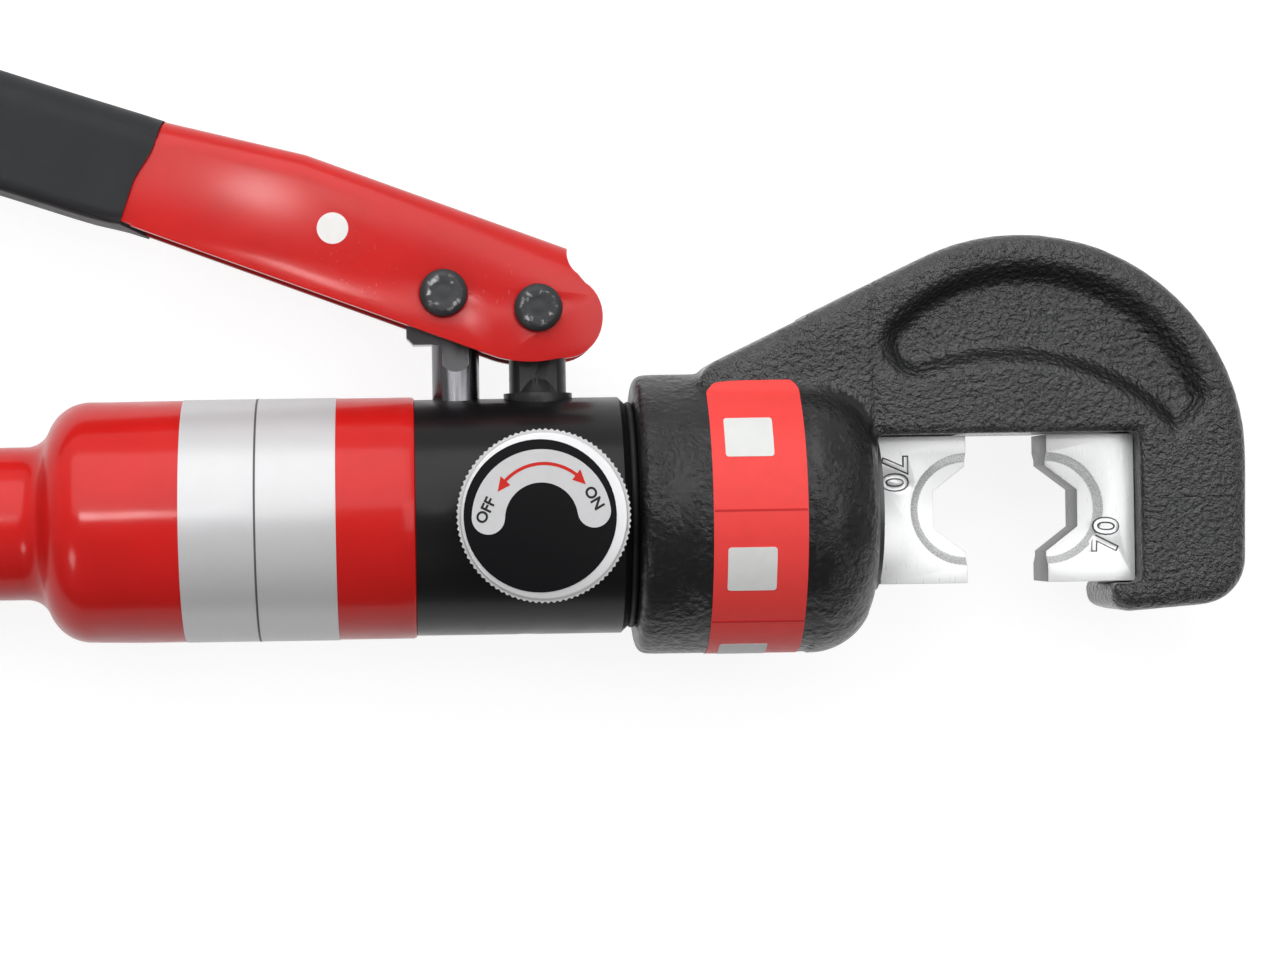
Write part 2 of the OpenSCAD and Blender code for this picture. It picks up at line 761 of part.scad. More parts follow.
module fulcrum_post() {
    foot = post_foot();
    shoulder = foot + post_flange_len;
    color(BLACK) translate([fulcrum_x, 0, 0]) difference() {
        union() {
            rod_y(foot - post_thread_len, foot + over, post_thread_d);
            rod_y(foot, shoulder, post_flange_d);
            intersection() {
                rod_y(shoulder - over, fulcrum_y + over, post_d);
                translate([-post_d, 0, -tongue_thickness / 2])
                    cube([2 * post_d, fulcrum_y, tongue_thickness]);
            }
            translate([0, fulcrum_y, 0])
                rod_z(-tongue_thickness / 2, tongue_thickness / 2, post_d);
            translate([0, shoulder - 0.01, 0]) rotate([-90, 0, 0])
                cylinder(d1 = post_d, d2 = tongue_thickness, h = post_shoulder);
        }
        translate([0, fulcrum_y, 0])
            rod_z(-tongue_thickness, tongue_thickness, pin_d + 2 * run);
    }
}

// Valves
module suction_plug() {
    color(BRASS) translate([0, -valve_drop, 0]) difference() {
        rod_x(suction_face - suction_plug_len, suction_face, valve_bore_d - 2 * seat);
        rod_x(suction_face - suction_plug_len - over, suction_face + over, seat_hole_d);
        translate([suction_face - suction_plug_len, 0, 0])
            cube([2, valve_bore_d + over, 1], center = true);
    }
}

module suction_ball() {
    color(BRIGHT) translate([suction_ball_x, -valve_drop, 0]) sphere(d = ball_d);
}

module suction_spring() {
    color(STEEL) translate([suction_step, -valve_drop, 0]) rotate([0, -90, 0])
        coil(valve_mean_d, valve_wire, valve_spring_len + spring_dip(ball_d), valve_turns, 12, 6);
}

// How far a valve spring reaches past the top of its ball
function spring_dip(ball) =
    ball / 2 - sqrt(pow(ball / 2, 2) - pow(valve_mean_d / 2 - valve_wire / 2, 2)) - 0.1;

module delivery_plug() {
    color(BRASS) translate([0, -valve_drop, 0]) difference() {
        rod_x(delivery_plug_x, delivery_plug_x + delivery_plug_len, valve_bore_d - 2 * seat);
        rod_x(delivery_plug_x - over, delivery_plug_x + delivery_plug_len + over, seat_hole_d);
        translate([delivery_plug_x + delivery_plug_len, 0, 0])
            cube([2, valve_bore_d + over, 1], center = true);
    }
}

module delivery_ball() {
    color(BRIGHT) translate([delivery_ball_x, -valve_drop, 0]) sphere(d = ball_d);
}

module delivery_spring() {
    color(STEEL) translate([delivery_plug_x, -valve_drop, 0]) rotate([0, -90, 0])
        coil(valve_mean_d, valve_wire, valve_spring_len + spring_dip(ball_d), valve_turns, 12, 6);
}

module relief_screw() {
    color(DARK) translate([relief_x, 0, 0]) difference() {
        rod_y(relief_flat, relief_screw_y, relief_bore_d - 2 * seat);
        translate([0, relief_flat - over, 0]) rotate([-90, 0, 0])
            cylinder(d = 2.9, h = 2.2 + over, $fn = 6);
    }
}

module relief_ball() {
    color(BRIGHT) translate([relief_x, relief_ball_y, 0]) sphere(d = relief_ball_d);
}

module relief_spring() {
    color(STEEL) translate([relief_x, relief_screw_y, 0]) rotate([-90, 0, 0])
        coil(valve_mean_d - 0.4, valve_wire, relief_spring_y - relief_screw_y + 0.25, 3, 12, 6);
}

// Release valve
module knurl() {
    polygon([for (i = [0:2 * knurl_teeth - 1])
        let(r = knob_d / 2 - (i % 2) * knurl_depth)
        r * [cos(180 * i / knurl_teeth), sin(180 * i / knurl_teeth)]]);
}

module release_knob() {
    color(ALUMINIUM) translate([release_x, 0, 0]) difference() {
        union() {
            translate([0, 0, knob_low + 1]) linear_extrude(knob_height - 2) knurl();
            rod_z(knob_low, knob_top, knob_face_d);
        }
        rod_z(knob_low - over, spindle_top, spindle_end_d + 2 * seat);
        rod_z(spindle_top - over, knob_top + over, 4.4);
        rod_z(knob_top - 2.6, knob_top + over, knob_screw_head_d + 0.4);
    }
}

module release_spindle() {
    tip = release_floor + 0.1;
    color(STEEL) translate([release_x, 0, 0]) difference() {
        union() {
            translate([0, 0, tip]) cylinder(d1 = seat_hole_d - 0.2, d2 = spindle_d - 2, h = 2.6);
            rod_z(tip + 2.5, tip + 5, spindle_d - 2);
            rod_z(tip + 4.5, knob_low, spindle_d);
            rod_z(knob_low - over, spindle_top, spindle_end_d);
        }
        translate([0, 0, body_r - spindle_seal_depth])
            wire_ring(spindle_d, spindle_seal_wire + 2 * seat);
        rod_z(spindle_top - 7, spindle_top + over, 4);
    }
}

module spindle_seal() {
    color(RUBBER) translate([release_x, 0, body_r - spindle_seal_depth]) intersection() {
        wire_ring(spindle_d, spindle_seal_wire);
        rod_z(-spindle_seal_wire, spindle_seal_wire, spindle_d + 2 * run);
    }
}

module knob_screw() {
    color(DARK) translate([release_x, 0, 0]) difference() {
        union() {
            rod_z(spindle_top - 6.5, knob_top - 2.5, 4 - 2 * seat);
            rod_z(knob_top - 2.6, knob_top - 0.4, knob_screw_head_d);
        }
        translate([0, 0, knob_top - 1.8]) cylinder(d = 3.4, h = 3, $fn = 6);
    }
}

// Reservoir and fixed grip
module shoulder_profile() {
    top = [barrel_d / 2 - shoulder_round, barrel_end];
    meet = top + shoulder_round * [cos(shoulder_turn), -sin(shoulder_turn)];
    low = meet + neck_round * [cos(shoulder_turn), -sin(shoulder_turn)];
    translate(top) circle(shoulder_round);
    difference() {
        polygon([[0, barrel_end + over], [top[0], barrel_end + over], top, meet, low, [0, low[1]]]);
        translate(low) circle(neck_round);
    }
}

module barrel_room() {
    deep = barrel_end + 2;
    mouth = rear_spigot_d / 2 + seat;
    polygon([
        [0, body_rear + over],
        [mouth, body_rear + over],
        [mouth, deep],
        [tube_bore / 2, deep - mouth + tube_bore / 2],
        [tube_bore / 2, grip_tail],
        [0, grip_tail]]);
}

module reservoir() {
    color(RED) difference() {
        union() {
            rod_x(barrel_end, body_rear, barrel_d);
            turned() shoulder_profile();
            rod_x(grip_front, neck_x + over, neck_d);
            rod_x(grip_tail + handle_end, grip_front + over, tube_d);
        }
        turned() barrel_room();
    }
}

module reservoir_ring() {
    color(RUBBER) translate([body_rear - rear_spigot_len + 4, 0, 0]) rotate([0, 90, 0])
        intersection() {
            wire_ring(rear_spigot_d, barrel_ring_wire);
            rod_z(-barrel_ring_wire, barrel_ring_wire, rear_spigot_d + 2 * seat);
        }
}

module bladder_profile() {
    r = bladder_d / 2;
    foot = stub_end - bladder_len;
    translate([0, foot + r / 2]) square([r, bladder_len - r / 2 - 3]);
    translate([0, foot]) square([r / 2, r]);
    translate([r / 2, foot + r / 2]) circle(r / 2);
    translate([0, stub_end - 4]) square([stub_d / 2 + bladder_wall, 4 + stub_len - 1]);
}

module bladder_room() {
    r = bladder_d / 2 - bladder_wall;
    foot = stub_end - bladder_len + bladder_wall;
    translate([0, foot + r / 2]) square([r, bladder_len - bladder_wall - r / 2 - 3 - bladder_wall]);
    translate([0, foot]) square([r / 2, r]);
    translate([r / 2, foot + r / 2]) circle(r / 2);
    translate([0, stub_end - 8]) square([stub_d / 2 + seat, 8 + stub_len + over]);
}

module oil_bladder() {
    color(RUBBER) turned() difference() {
        bladder_profile();
        bladder_room();
    }
}

module bladder_clip() {
    color(STEEL) translate([stub_end + stub_len / 2, 0, 0]) rotate([0, 90, 0])
        wire_ring(stub_d + 2 * bladder_wall + bladder_clip_wire, bladder_clip_wire);
}

module handle_profile() {
    r = handle_grip_d / 2;
    soft = 4;
    translate([0, grip_tail + soft]) square([r, handle_grip_len - soft - 1.5]);
    translate([0, grip_tail]) square([r - soft, handle_grip_len]);
    translate([r - soft, grip_tail + soft]) circle(soft);
    translate([r - 1.5, grip_front - 1.5]) circle(1.5);
    translate([0, grip_front - 4]) square([r - 1.5, 4]);
}

module handle_grip() {
    color(SLEEVE) difference() {
        turned() handle_profile();
        rod_x(grip_tail + handle_end, grip_front + over, tube_d + 2 * seat);
    }
}

// Lever, drawn with its front part along -X and the fulcrum at the origin
module on_lever() {
    translate([fulcrum_x, fulcrum_y, 0]) rotate([0, 0, -lever_angle]) children();
}

// Channel section, shrunk by inset: across is Z, up is Y, with its back at Y = 0
module channel_outer(low, inset) {
    half = channel_width / 2 - inset;
    soft = channel_round - inset;
    translate([-half, low]) square([2 * half, -inset - low - soft]);
    translate([soft - half, low]) square([2 * (half - soft), -inset - low]);
    for (side = [-1, 1]) {
        translate([side * (half - soft), -inset - soft]) circle(soft);
    }
}

module channel_inner(low, inset) {
    half = cheek_in - inset;
    soft = channel_round - sheet;
    top = -sheet - inset;
    translate([-half, low]) square([2 * half, top - low - soft]);
    translate([soft - half, low]) square([2 * (half - soft), top - low]);
    for (side = [-1, 1]) {
        translate([side * (half - soft), top - soft]) circle(soft);
    }
}

grip_x = -front_len - taper_len;
taper_drop = atan((channel_above + channel_below - grip_channel_height) / taper_len);
grip_back = [grip_x, grip_channel_height - channel_below];

function turned_by(a, p) = [p[0] * cos(a) - p[1] * sin(a), p[0] * sin(a) + p[1] * cos(a)];

// Places a piece drawn along -X with the channel's back at Y = 0 on the grip part
module at_grip() {
    translate(grip_back) rotate([0, 0, grip_bend]) children();
}

// Side view of the lever in front of its grip: nose, open edge and rear end, but not its back
module side_block() {
    wide = 2 * channel_width;
    nose = [5.2, -0.4];
    crown_turn = 50;
    foot_turn = -62;
    foot = nose + (lever_nose_r - 0.2) * [cos(foot_turn), sin(foot_turn)];
    difference() {
        union() {
            linear_extrude(wide, center = true) polygon([
                grip_back + turned_by(grip_bend, [0, channel_below]),
                [1.4, channel_above + channel_below],
                [1.4, channel_above],
                [3.2, 10.3],
                [4.2, 8.1],
                nose + (lever_nose_r - 0.2) * [cos(crown_turn), sin(crown_turn)],
                nose,
                foot,
                [foot[0] - 8.4, -channel_below],
                grip_back - turned_by(grip_bend, [0, grip_channel_height])]);
            translate(nose) rod_z(-wide / 2, wide / 2, 2 * lever_nose_r);
        }
        translate([5.85, 12.1]) rod_z(-wide, wide, 8.9);
    }
}

// The two straight runs of the channel in front of the grip; each runs on over the other
module front_runs() {
    intersection() {
        translate([30, channel_above, 0]) rotate([0, -90, 0])
            linear_extrude(front_len + taper_len + 60) children();
        translate([-front_len, channel_above, 0]) rotate([0, 0, taper_drop])
            translate([front_len + 40, 0, 0]) rotate([0, -90, 0])
                linear_extrude(front_len + taper_len + 60) children();
    }
}

// The straight run inside the sleeve, drawn in by the step so that the sleeve lies flush
module grip_run() {
    lap = 2;
    at_grip() translate([lap, 0, 0]) rotate([0, -90, 0]) difference() {
        linear_extrude(grip_len + lap) channel_outer(sleeve_step - grip_channel_height, sleeve_step);
        translate([0, 0, -over]) linear_extrude(grip_len + lap + 2 * over)
            channel_inner(-2 * grip_channel_height, sleeve_step);
    }
}

module lever_channel() {
    deep = -2 * (channel_above + channel_below);
    color(RED) on_lever() difference() {
        union() {
            difference() {
                intersection() {
                    side_block();
                    front_runs() channel_outer(deep, 0);
                }
                front_runs() channel_inner(deep - over, 0);
            }
            grip_run();
        }
        rod_z(-channel_width, channel_width, pin_d + 2 * seat);
        translate([pin_lever_x, pin_lever_y, 0]) rod_z(-channel_width, channel_width, pin_d + 2 * seat);
    }
}

module lever_grip() {
    front = 0.3;
    color(SLEEVE) on_lever() at_grip() difference() {
        union() {
            translate([-front, 0, 0]) rotate([0, -90, 0]) linear_extrude(grip_len + 1 - front)
                sleeve_outline(0);
            hull() {
                translate([-grip_len - 1, 0, 0]) rotate([0, -90, 0]) linear_extrude(0.01)
                    sleeve_outline(0, $fn = 32);
                translate([-grip_len - sleeve_end - 0.2, 0, 0]) rotate([0, -90, 0])
                    linear_extrude(0.01) sleeve_outline(2.4, $fn = 32);
            }
        }
        translate([over, 0, 0]) rotate([0, -90, 0]) linear_extrude(grip_len + over + 0.2)
            channel_outer(sleeve_step - grip_channel_height - seat, sleeve_step - seat);
    }
}

// The outside of the sleeve, shrunk all round by inset
module sleeve_outline(inset) {
    soft = channel_round + sleeve_wall;
    small = 2.5;
    half = channel_width / 2 + sleeve_wall - inset;
    low = -grip_channel_height - sleeve_wall + inset;
    high = sleeve_wall - inset;
    translate([-half, low + small]) square([2 * half, high - low - soft - small]);
    translate([small - half, low]) square([2 * (half - small), small + over]);
    translate([soft - half, low + small]) square([2 * (half - soft), high - low - small]);
    for (side = [-1, 1]) {
        translate([side * (half - soft), high - soft]) circle(soft);
        translate([side * (half - small), low + small]) circle(small);
    }
}

// A headed pin along Z with a groove for its clip
module lever_pin() {
    front = channel_width / 2;
    groove = -front - 0.1;
    difference() {
        union() {
            rod_z(groove - clip_thickness - pin_tail, front + over, pin_d);
            rod_z(front, front + pin_head_len - 0.7, pin_head_d);
            translate([0, 0, front + pin_head_len - 0.7])
                cylinder(d1 = pin_head_d, d2 = pin_head_d - 2, h = 0.7);
        }
        difference() {
            rod_z(groove - clip_thickness - 0.05, groove, pin_d + over);
            rod_z(groove - clip_thickness - over, groove + over, pin_d - 1.6);
        }
    }
}

module pin_clip() {
    low = -channel_width / 2 - 0.12 - clip_thickness;
    translate([0, 0, low]) linear_extrude(clip_thickness) difference() {
        circle(d = clip_d);
        circle(d = pin_d - 1.5);
        translate([0, -(pin_d - 2.6) / 2]) square([clip_d, pin_d - 2.6]);
    }
}

module fulcrum_pin() {
    color(DARK) on_lever() lever_pin();
}

module plunger_pin() {
    color(DARK) on_lever() translate([pin_lever_x, pin_lever_y, 0]) lever_pin();
}

module fulcrum_clip() {
    color(STEEL) on_lever() pin_clip();
}

module plunger_clip() {
    color(STEEL) on_lever() translate([pin_lever_x, pin_lever_y, 0]) pin_clip();
}

// A washer that fills the room between a cheek and the post
module washer() {
    translate([0, 0, tongue_thickness / 2 + washer_play]) difference() {
        rod_z(0, washer_len, post_d - 0.8);
        rod_z(-over, washer_len + over, pin_d + 2 * run);
    }
}

module front_washer() {
    color(STEEL) on_lever() washer();
}

module rear_washer() {
    color(STEEL) on_lever() mirror([0, 0, 1]) washer();
}

// Plunger
module flat_cut() {
    low = body_r + flat_rise;
    mill = 3;
    translate([plunger_x - 2 * mill, low + mill]) square([4 * mill, eye_low]);
    translate([plunger_x, low + mill]) circle(mill);
}

module eye_outline() {
    half = eye_width / 2;
    difference() {
        union() {
            polygon([
                [eye_mid - half + 1.3, eye_low],
                [eye_mid + half, eye_low],
                [eye_mid + half, pin_y],
                [eye_mid - half, pin_y],
                [eye_mid - half, eye_low + 1.3]]);
            translate([eye_mid, pin_y]) circle(half);
        }
        slot();
    }
}

// The pin's path across the eye while the plunger goes straight
module slot() {
    high = pin_d + slot_play;
    left = pin_x - 0.45;
    right = pin_x + 1.6;
    translate([left, pin_y]) circle(d = high);
    translate([right, pin_y]) circle(d = high);
    translate([left, pin_y - high / 2]) square([right - left, high]);
}

module plunger() {
    color(BRIGHT) union() {
        difference() {
            translate([plunger_x, 0, 0]) rod_y(-plunger_foot, eye_low + over, plunger_d);
            for (side = [-1, 1]) {
                translate([0, 0, side * (eye_thickness / 2 + plunger_d / 2)])
                    linear_extrude(plunger_d, center = true) flat_cut();
            }
        }
        linear_extrude(eye_thickness, center = true) eye_outline();
    }
}

pump_body();
fulcrum_post();
spring_bolt();
plunger_seal();
dust_ring();
suction_plug();
suction_ball();
suction_spring();
delivery_plug();
delivery_ball();
delivery_spring();
relief_screw();
relief_ball();
relief_spring();
reservoir();
reservoir_ring();
oil_bladder();
bladder_clip();
handle_grip();
c_head();
swivel_ring();
fixed_die();
fixed_die_ring();
ram();
ram_seal();
backup_ring();
ram_nut();
return_spring();
moving_die();
moving_die_ring();
lever_channel();
lever_grip();
fulcrum_pin();
plunger_pin();
fulcrum_clip();
plunger_clip();
front_washer();
rear_washer();
plunger();
release_knob();
release_spindle();
spindle_seal();
knob_screw();
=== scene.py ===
"""Looks of a hydraulic hand crimping tool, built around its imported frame.

Every piece is in metres in the frame of the solids: +X runs along the ram towards the jaw, +Y points
towards the pump lever, and +Z points up from the table that the tool lies on. Lengths are in
millimetres unless a note beside them names another unit.
"""

import json
import logging
import math
from collections.abc import Iterable, Sequence
from dataclasses import dataclass
from enum import Enum

import bmesh
import bpy
from mathutils import Matrix, Vector, noise

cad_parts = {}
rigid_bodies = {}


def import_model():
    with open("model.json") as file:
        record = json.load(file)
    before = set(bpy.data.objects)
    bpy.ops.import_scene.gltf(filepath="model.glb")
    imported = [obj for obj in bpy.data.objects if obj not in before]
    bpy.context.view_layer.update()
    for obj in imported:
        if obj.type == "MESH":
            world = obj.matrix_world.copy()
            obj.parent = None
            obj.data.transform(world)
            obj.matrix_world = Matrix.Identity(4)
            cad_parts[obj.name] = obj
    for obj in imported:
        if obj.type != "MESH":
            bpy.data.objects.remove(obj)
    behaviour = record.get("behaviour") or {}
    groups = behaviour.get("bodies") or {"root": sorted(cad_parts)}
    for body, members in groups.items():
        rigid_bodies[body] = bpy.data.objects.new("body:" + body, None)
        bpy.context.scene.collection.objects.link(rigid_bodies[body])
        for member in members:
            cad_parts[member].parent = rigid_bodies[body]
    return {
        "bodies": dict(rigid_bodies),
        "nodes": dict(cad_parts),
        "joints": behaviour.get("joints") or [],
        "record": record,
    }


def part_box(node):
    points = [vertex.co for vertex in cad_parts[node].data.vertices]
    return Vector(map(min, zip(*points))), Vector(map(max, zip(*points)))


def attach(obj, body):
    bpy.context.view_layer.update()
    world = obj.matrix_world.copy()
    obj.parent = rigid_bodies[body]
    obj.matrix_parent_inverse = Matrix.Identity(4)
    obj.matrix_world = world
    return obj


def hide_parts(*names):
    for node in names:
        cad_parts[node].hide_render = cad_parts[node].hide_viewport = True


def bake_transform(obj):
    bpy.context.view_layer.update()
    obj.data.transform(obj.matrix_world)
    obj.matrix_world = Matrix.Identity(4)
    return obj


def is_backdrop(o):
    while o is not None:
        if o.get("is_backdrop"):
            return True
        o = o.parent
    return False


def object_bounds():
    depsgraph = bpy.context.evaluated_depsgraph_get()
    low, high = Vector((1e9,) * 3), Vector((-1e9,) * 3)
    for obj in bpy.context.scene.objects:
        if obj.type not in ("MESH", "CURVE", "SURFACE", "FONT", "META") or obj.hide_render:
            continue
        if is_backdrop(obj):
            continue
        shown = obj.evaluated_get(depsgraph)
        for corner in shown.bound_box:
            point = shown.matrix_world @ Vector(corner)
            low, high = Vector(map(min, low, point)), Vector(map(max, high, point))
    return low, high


Point2 = tuple[float, float]
Point3 = tuple[float, float, float]
Colour = tuple[float, float, float]
Shape = bmesh.types.BMesh
Corner = bmesh.types.BMVert
Socket = bpy.types.NodeSocket

LOG = logging.getLogger("crimping_tool")
MM = 0.001
WELD = 0.002 * MM
CLOSE = 0.02 * MM
FLAT_ANGLE = math.radians(0.5)
SHARP_ANGLE = math.radians(30.0)
WHITE = (1.0, 1.0, 1.0, 1.0)
NOISE_SPAN: Point2 = (0.3, 0.7)
RISING: Point2 = (0.0, 1.0)
FALLING: Point2 = (1.0, 0.0)
ALONG = Vector((1.0, 0.0, 0.0))
ACROSS = Vector((0.0, 1.0, 0.0))


class Body(Enum):
    """The bodies of the frame that pieces ride on."""

    PUMP = "pump"
    HEAD = "head"
    RAM = "ram"
    LEVER = "lever"
    PLUNGER = "plunger"
    RELEASE = "release"


class Slot(Enum):
    """The material slots of the record."""

    BODY_BLACK = "body_black"
    CAST_BLACK = "cast_black"
    RED_PAINT = "red_paint"
    GRIP_BLACK = "grip_black"
    DIE_STEEL = "die_steel"
    BRIGHT_STEEL = "bright_steel"
    SPRING_STEEL = "spring_steel"
    DARK_STEEL = "dark_steel"
    PIN_DARK = "pin_dark"
    KNOB_ALUMINIUM = "knob_aluminium"
    BRASS = "brass"
    RUBBER = "rubber"
    POLYMER = "polymer"


class NodeSheet:
    """A node tree, with short calls that add and feed its nodes."""

    def __init__(self, tree: bpy.types.NodeTree) -> None:
        """Keeps the tree to work on."""
        self.tree = tree

    def node(self, kind: str, inputs: dict | None = None, **settings: object) -> bpy.types.Node:
        """Adds a node.

        Args:
            kind: Blender's name for the node's type.
            inputs: Sockets to feed, by name or number.
            settings: Properties of the node itself.

        Returns:
            The new node.
        """
        made = self.tree.nodes.new(kind)
        for key, value in settings.items():
            setattr(made, key, value)
        for key, value in (inputs or {}).items():
            self.feed(made.inputs[key], value)
        return made

    def feed(self, socket: Socket, value: object) -> None:
        """Links a socket to another one, or sets its own value.

        Args:
            socket: The input to feed.
            value: An output socket, or a plain value.
        """
        if isinstance(value, Socket):
            self.tree.links.new(value, socket)
        else:
            socket.default_value = value

    def remap(self, value: Socket, given: Point2, wanted: tuple[object, object]) -> Socket:
        """Maps a range of values to another one and clamps it there.

        Args:
            value: The values.
            given: The range that they have.
            wanted: The range to map it to, as numbers or sockets.

        Returns:
            The mapped values.
        """
        inputs = {"Value": value, 1: given[0], 2: given[1], 3: wanted[0], 4: wanted[1]}
        return self.node("ShaderNodeMapRange", inputs).outputs[0]

    def times(self, one: Socket, other: Socket) -> Socket:
        """Multiplies two patterns."""
        return self.node("ShaderNodeMath", {0: one, 1: other}, operation="MULTIPLY").outputs[0]

    def greater(self, one: Socket, other: Socket) -> Socket:
        """Takes the greater of two patterns."""
        return self.node("ShaderNodeMath", {0: one, 1: other}, operation="MAXIMUM").outputs[0]


class ShaderSheet(NodeSheet):
    """The node tree of one material, with short calls for its patterns."""

    def __init__(self, name: str) -> None:
        """Starts a material that has only its surface shader.

        Args:
            name: Name of the material.
        """
        self.material = bpy.data.materials.new(name)
        self.material.use_nodes = True
        super().__init__(self.material.node_tree)
        self.surface = self.tree.nodes["Principled BSDF"]
        self.place = self.node("ShaderNodeTexCoord").outputs["Object"]

    def surface_set(self, inputs: dict) -> None:
        """Feeds sockets of the surface shader, by name."""
        for key, value in inputs.items():
            self.feed(self.surface.inputs[key], value)

    def stretched(self, size: Point3, centre: Point3 = (0.0, 0.0, 0.0)) -> Socket:
        """Gives the place on the piece, counted in features of a pattern.

        Args:
            size: Length of a feature along each axis.
            centre: The place that the pattern is centred on.

        Returns:
            The socket with the scaled place.
        """
        scale = tuple(1.0 / (side * MM) for side in size)
        shift = tuple(-way * MM * times for way, times in zip(centre, scale))
        inputs = {"Vector": self.place, "Scale": scale, "Location": shift}
        return self.node("ShaderNodeMapping", inputs).outputs[0]

    def distance(self, size: Point3, centre: Point3) -> Socket:
        """Gives the distance from a point.

        Args:
            size: The distance that counts as 1 along each axis.
            centre: The point.

        Returns:
            The distance, counted in sizes.
        """
        inputs = {0: self.stretched(size, centre)}
        return self.node("ShaderNodeVectorMath", inputs, operation="LENGTH").outputs["Value"]

    def grain(self, size: float | Point3, detail: float = 3.0) -> Socket:
        """Adds noise.

        Args:
            size: Length of a feature, in millimetres, on all axes or on each.
            detail: How many finer layers the noise has.

        Returns:
            The noise, from 0 to 1.
        """
        sides = size if isinstance(size, tuple) else (size, size, size)
        inputs = {"Vector": self.stretched(sides), "Scale": 1.0, "Detail": detail, "Roughness": 0.55}
        return self.node("ShaderNodeTexNoise", inputs).outputs[0]

    def cells(self, size: float) -> Socket:
        """Adds soft round cells.

        Args:
            size: Width of a cell.

        Returns:
            The distance from the middle of a cell.
        """
        inputs = {"Vector": self.stretched((size, size, size)), "Scale": 1.0, "Smoothness": 0.6}
        return self.node("ShaderNodeTexVoronoi", inputs, feature="SMOOTH_F1").outputs["Distance"]

    def mix(self, share: Socket, one: object, other: object) -> Socket:
        """Mixes two colours.

        Args:
            share: The share of the second colour.
            one: The first colour, or a socket.
            other: The second colour, or a socket.

        Returns:
            The mixed colour.
        """
        ends = [end if isinstance(end, Socket) else (*end, 1.0) for end in (one, other)]
        inputs = {0: share, 6: ends[0], 7: ends[1]}
        return self.node("ShaderNodeMix", inputs, data_type="RGBA").outputs[2]

    def relief(self, height: Socket, depth: float) -> None:
        """Lays a relief over those already on the surface.

        Args:
            height: The pattern, from 0 to 1.
            depth: The depth of the relief.
        """
        inputs = {"Height": height, "Distance": depth * MM, "Strength": 1.0}
        normal = self.surface.inputs["Normal"]
        if normal.is_linked:
            inputs["Normal"] = normal.links[0].from_socket
        self.feed(normal, self.node("ShaderNodeBump", inputs).outputs[0])


def shade(colour: Colour, times: float) -> Colour:
    """Gives a darker or lighter tone of a colour."""
    return tuple(min(1.0, part * times) for part in colour)


@dataclass(frozen=True)
class Finish:
    """A finish that becomes one node material."""

    name: str
    colour: Colour  # linear colour of the surface
    rough: float  # roughness where it shines most
    dull: float  # roughness where it shines least

    def material(self) -> bpy.types.Material:
        """Gives the material, which is made at the first call.

        Returns:
            The material.
        """
        made = bpy.data.materials.get(self.name)
        if made is None:
            sheet = ShaderSheet(self.name)
            self.lay(sheet)
            made = sheet.material
        return made

    def lay(self, sheet: ShaderSheet) -> None:
        """Lays the finish on a sheet.

        Args:
            sheet: The material's node tree.
        """
        raise NotImplementedError

    def mottle(self, sheet: ShaderSheet, pattern: Socket, tones: Point2) -> Socket:
        """Varies the colour between a darker and a lighter tone, over a pattern."""
        return sheet.mix(pattern, shade(self.colour, tones[0]), shade(self.colour, tones[1]))

    def gleam(self, sheet: ShaderSheet, pattern: Socket) -> Socket:
        """Varies the roughness over a pattern of noise."""
        return sheet.remap(pattern, NOISE_SPAN, (self.rough, self.dull))


@dataclass(frozen=True)
class Coat(Finish):
    """A mottled coat with soft reliefs, by default a printed film."""

    shine: float = 0.2  # specular level
    metal: float = 0.0  # share of bare metal
    patch: float = 3.0  # width of its paler and darker places
    tones: Point2 = (0.92, 1.04)  # how dark and how light these are
    haze: float = 2.0  # width of its duller places
    # Its reliefs, each with the width of a feature, its detail and its depth
    layers: tuple[Point3, ...] = ((2.4, 2.0, 0.01),)

    def lay(self, sheet: ShaderSheet) -> None:
        """Lays the coat and its reliefs.

        Args:
            sheet: The material's node tree.
        """
        sheet.surface_set({
            "Base Color": self.paint(sheet),
            "Metallic": self.metal,
            "Roughness": self.gleam(sheet, sheet.grain(self.haze)),
            "Specular IOR Level": self.shine,
        })
        for size, detail, depth in self.layers:
            sheet.relief(sheet.grain(size, detail), depth)

    def paint(self, sheet: ShaderSheet) -> Socket:
        """Gives the mottled colour."""
        return self.mottle(sheet, sheet.grain(self.patch), self.tones)


@dataclass(frozen=True)
class Moulded(Coat):
    """Vinyl, rubber or nylon with soft waves and a fine grain."""

    shine: float = 0.3
    patch: float = 11.0
    tones: Point2 = (0.8, 1.2)
    haze: float = 4.0
    layers: tuple[Point3, ...] = ((5.0, 1.0, 0.05), (0.5, 3.0, 0.012))


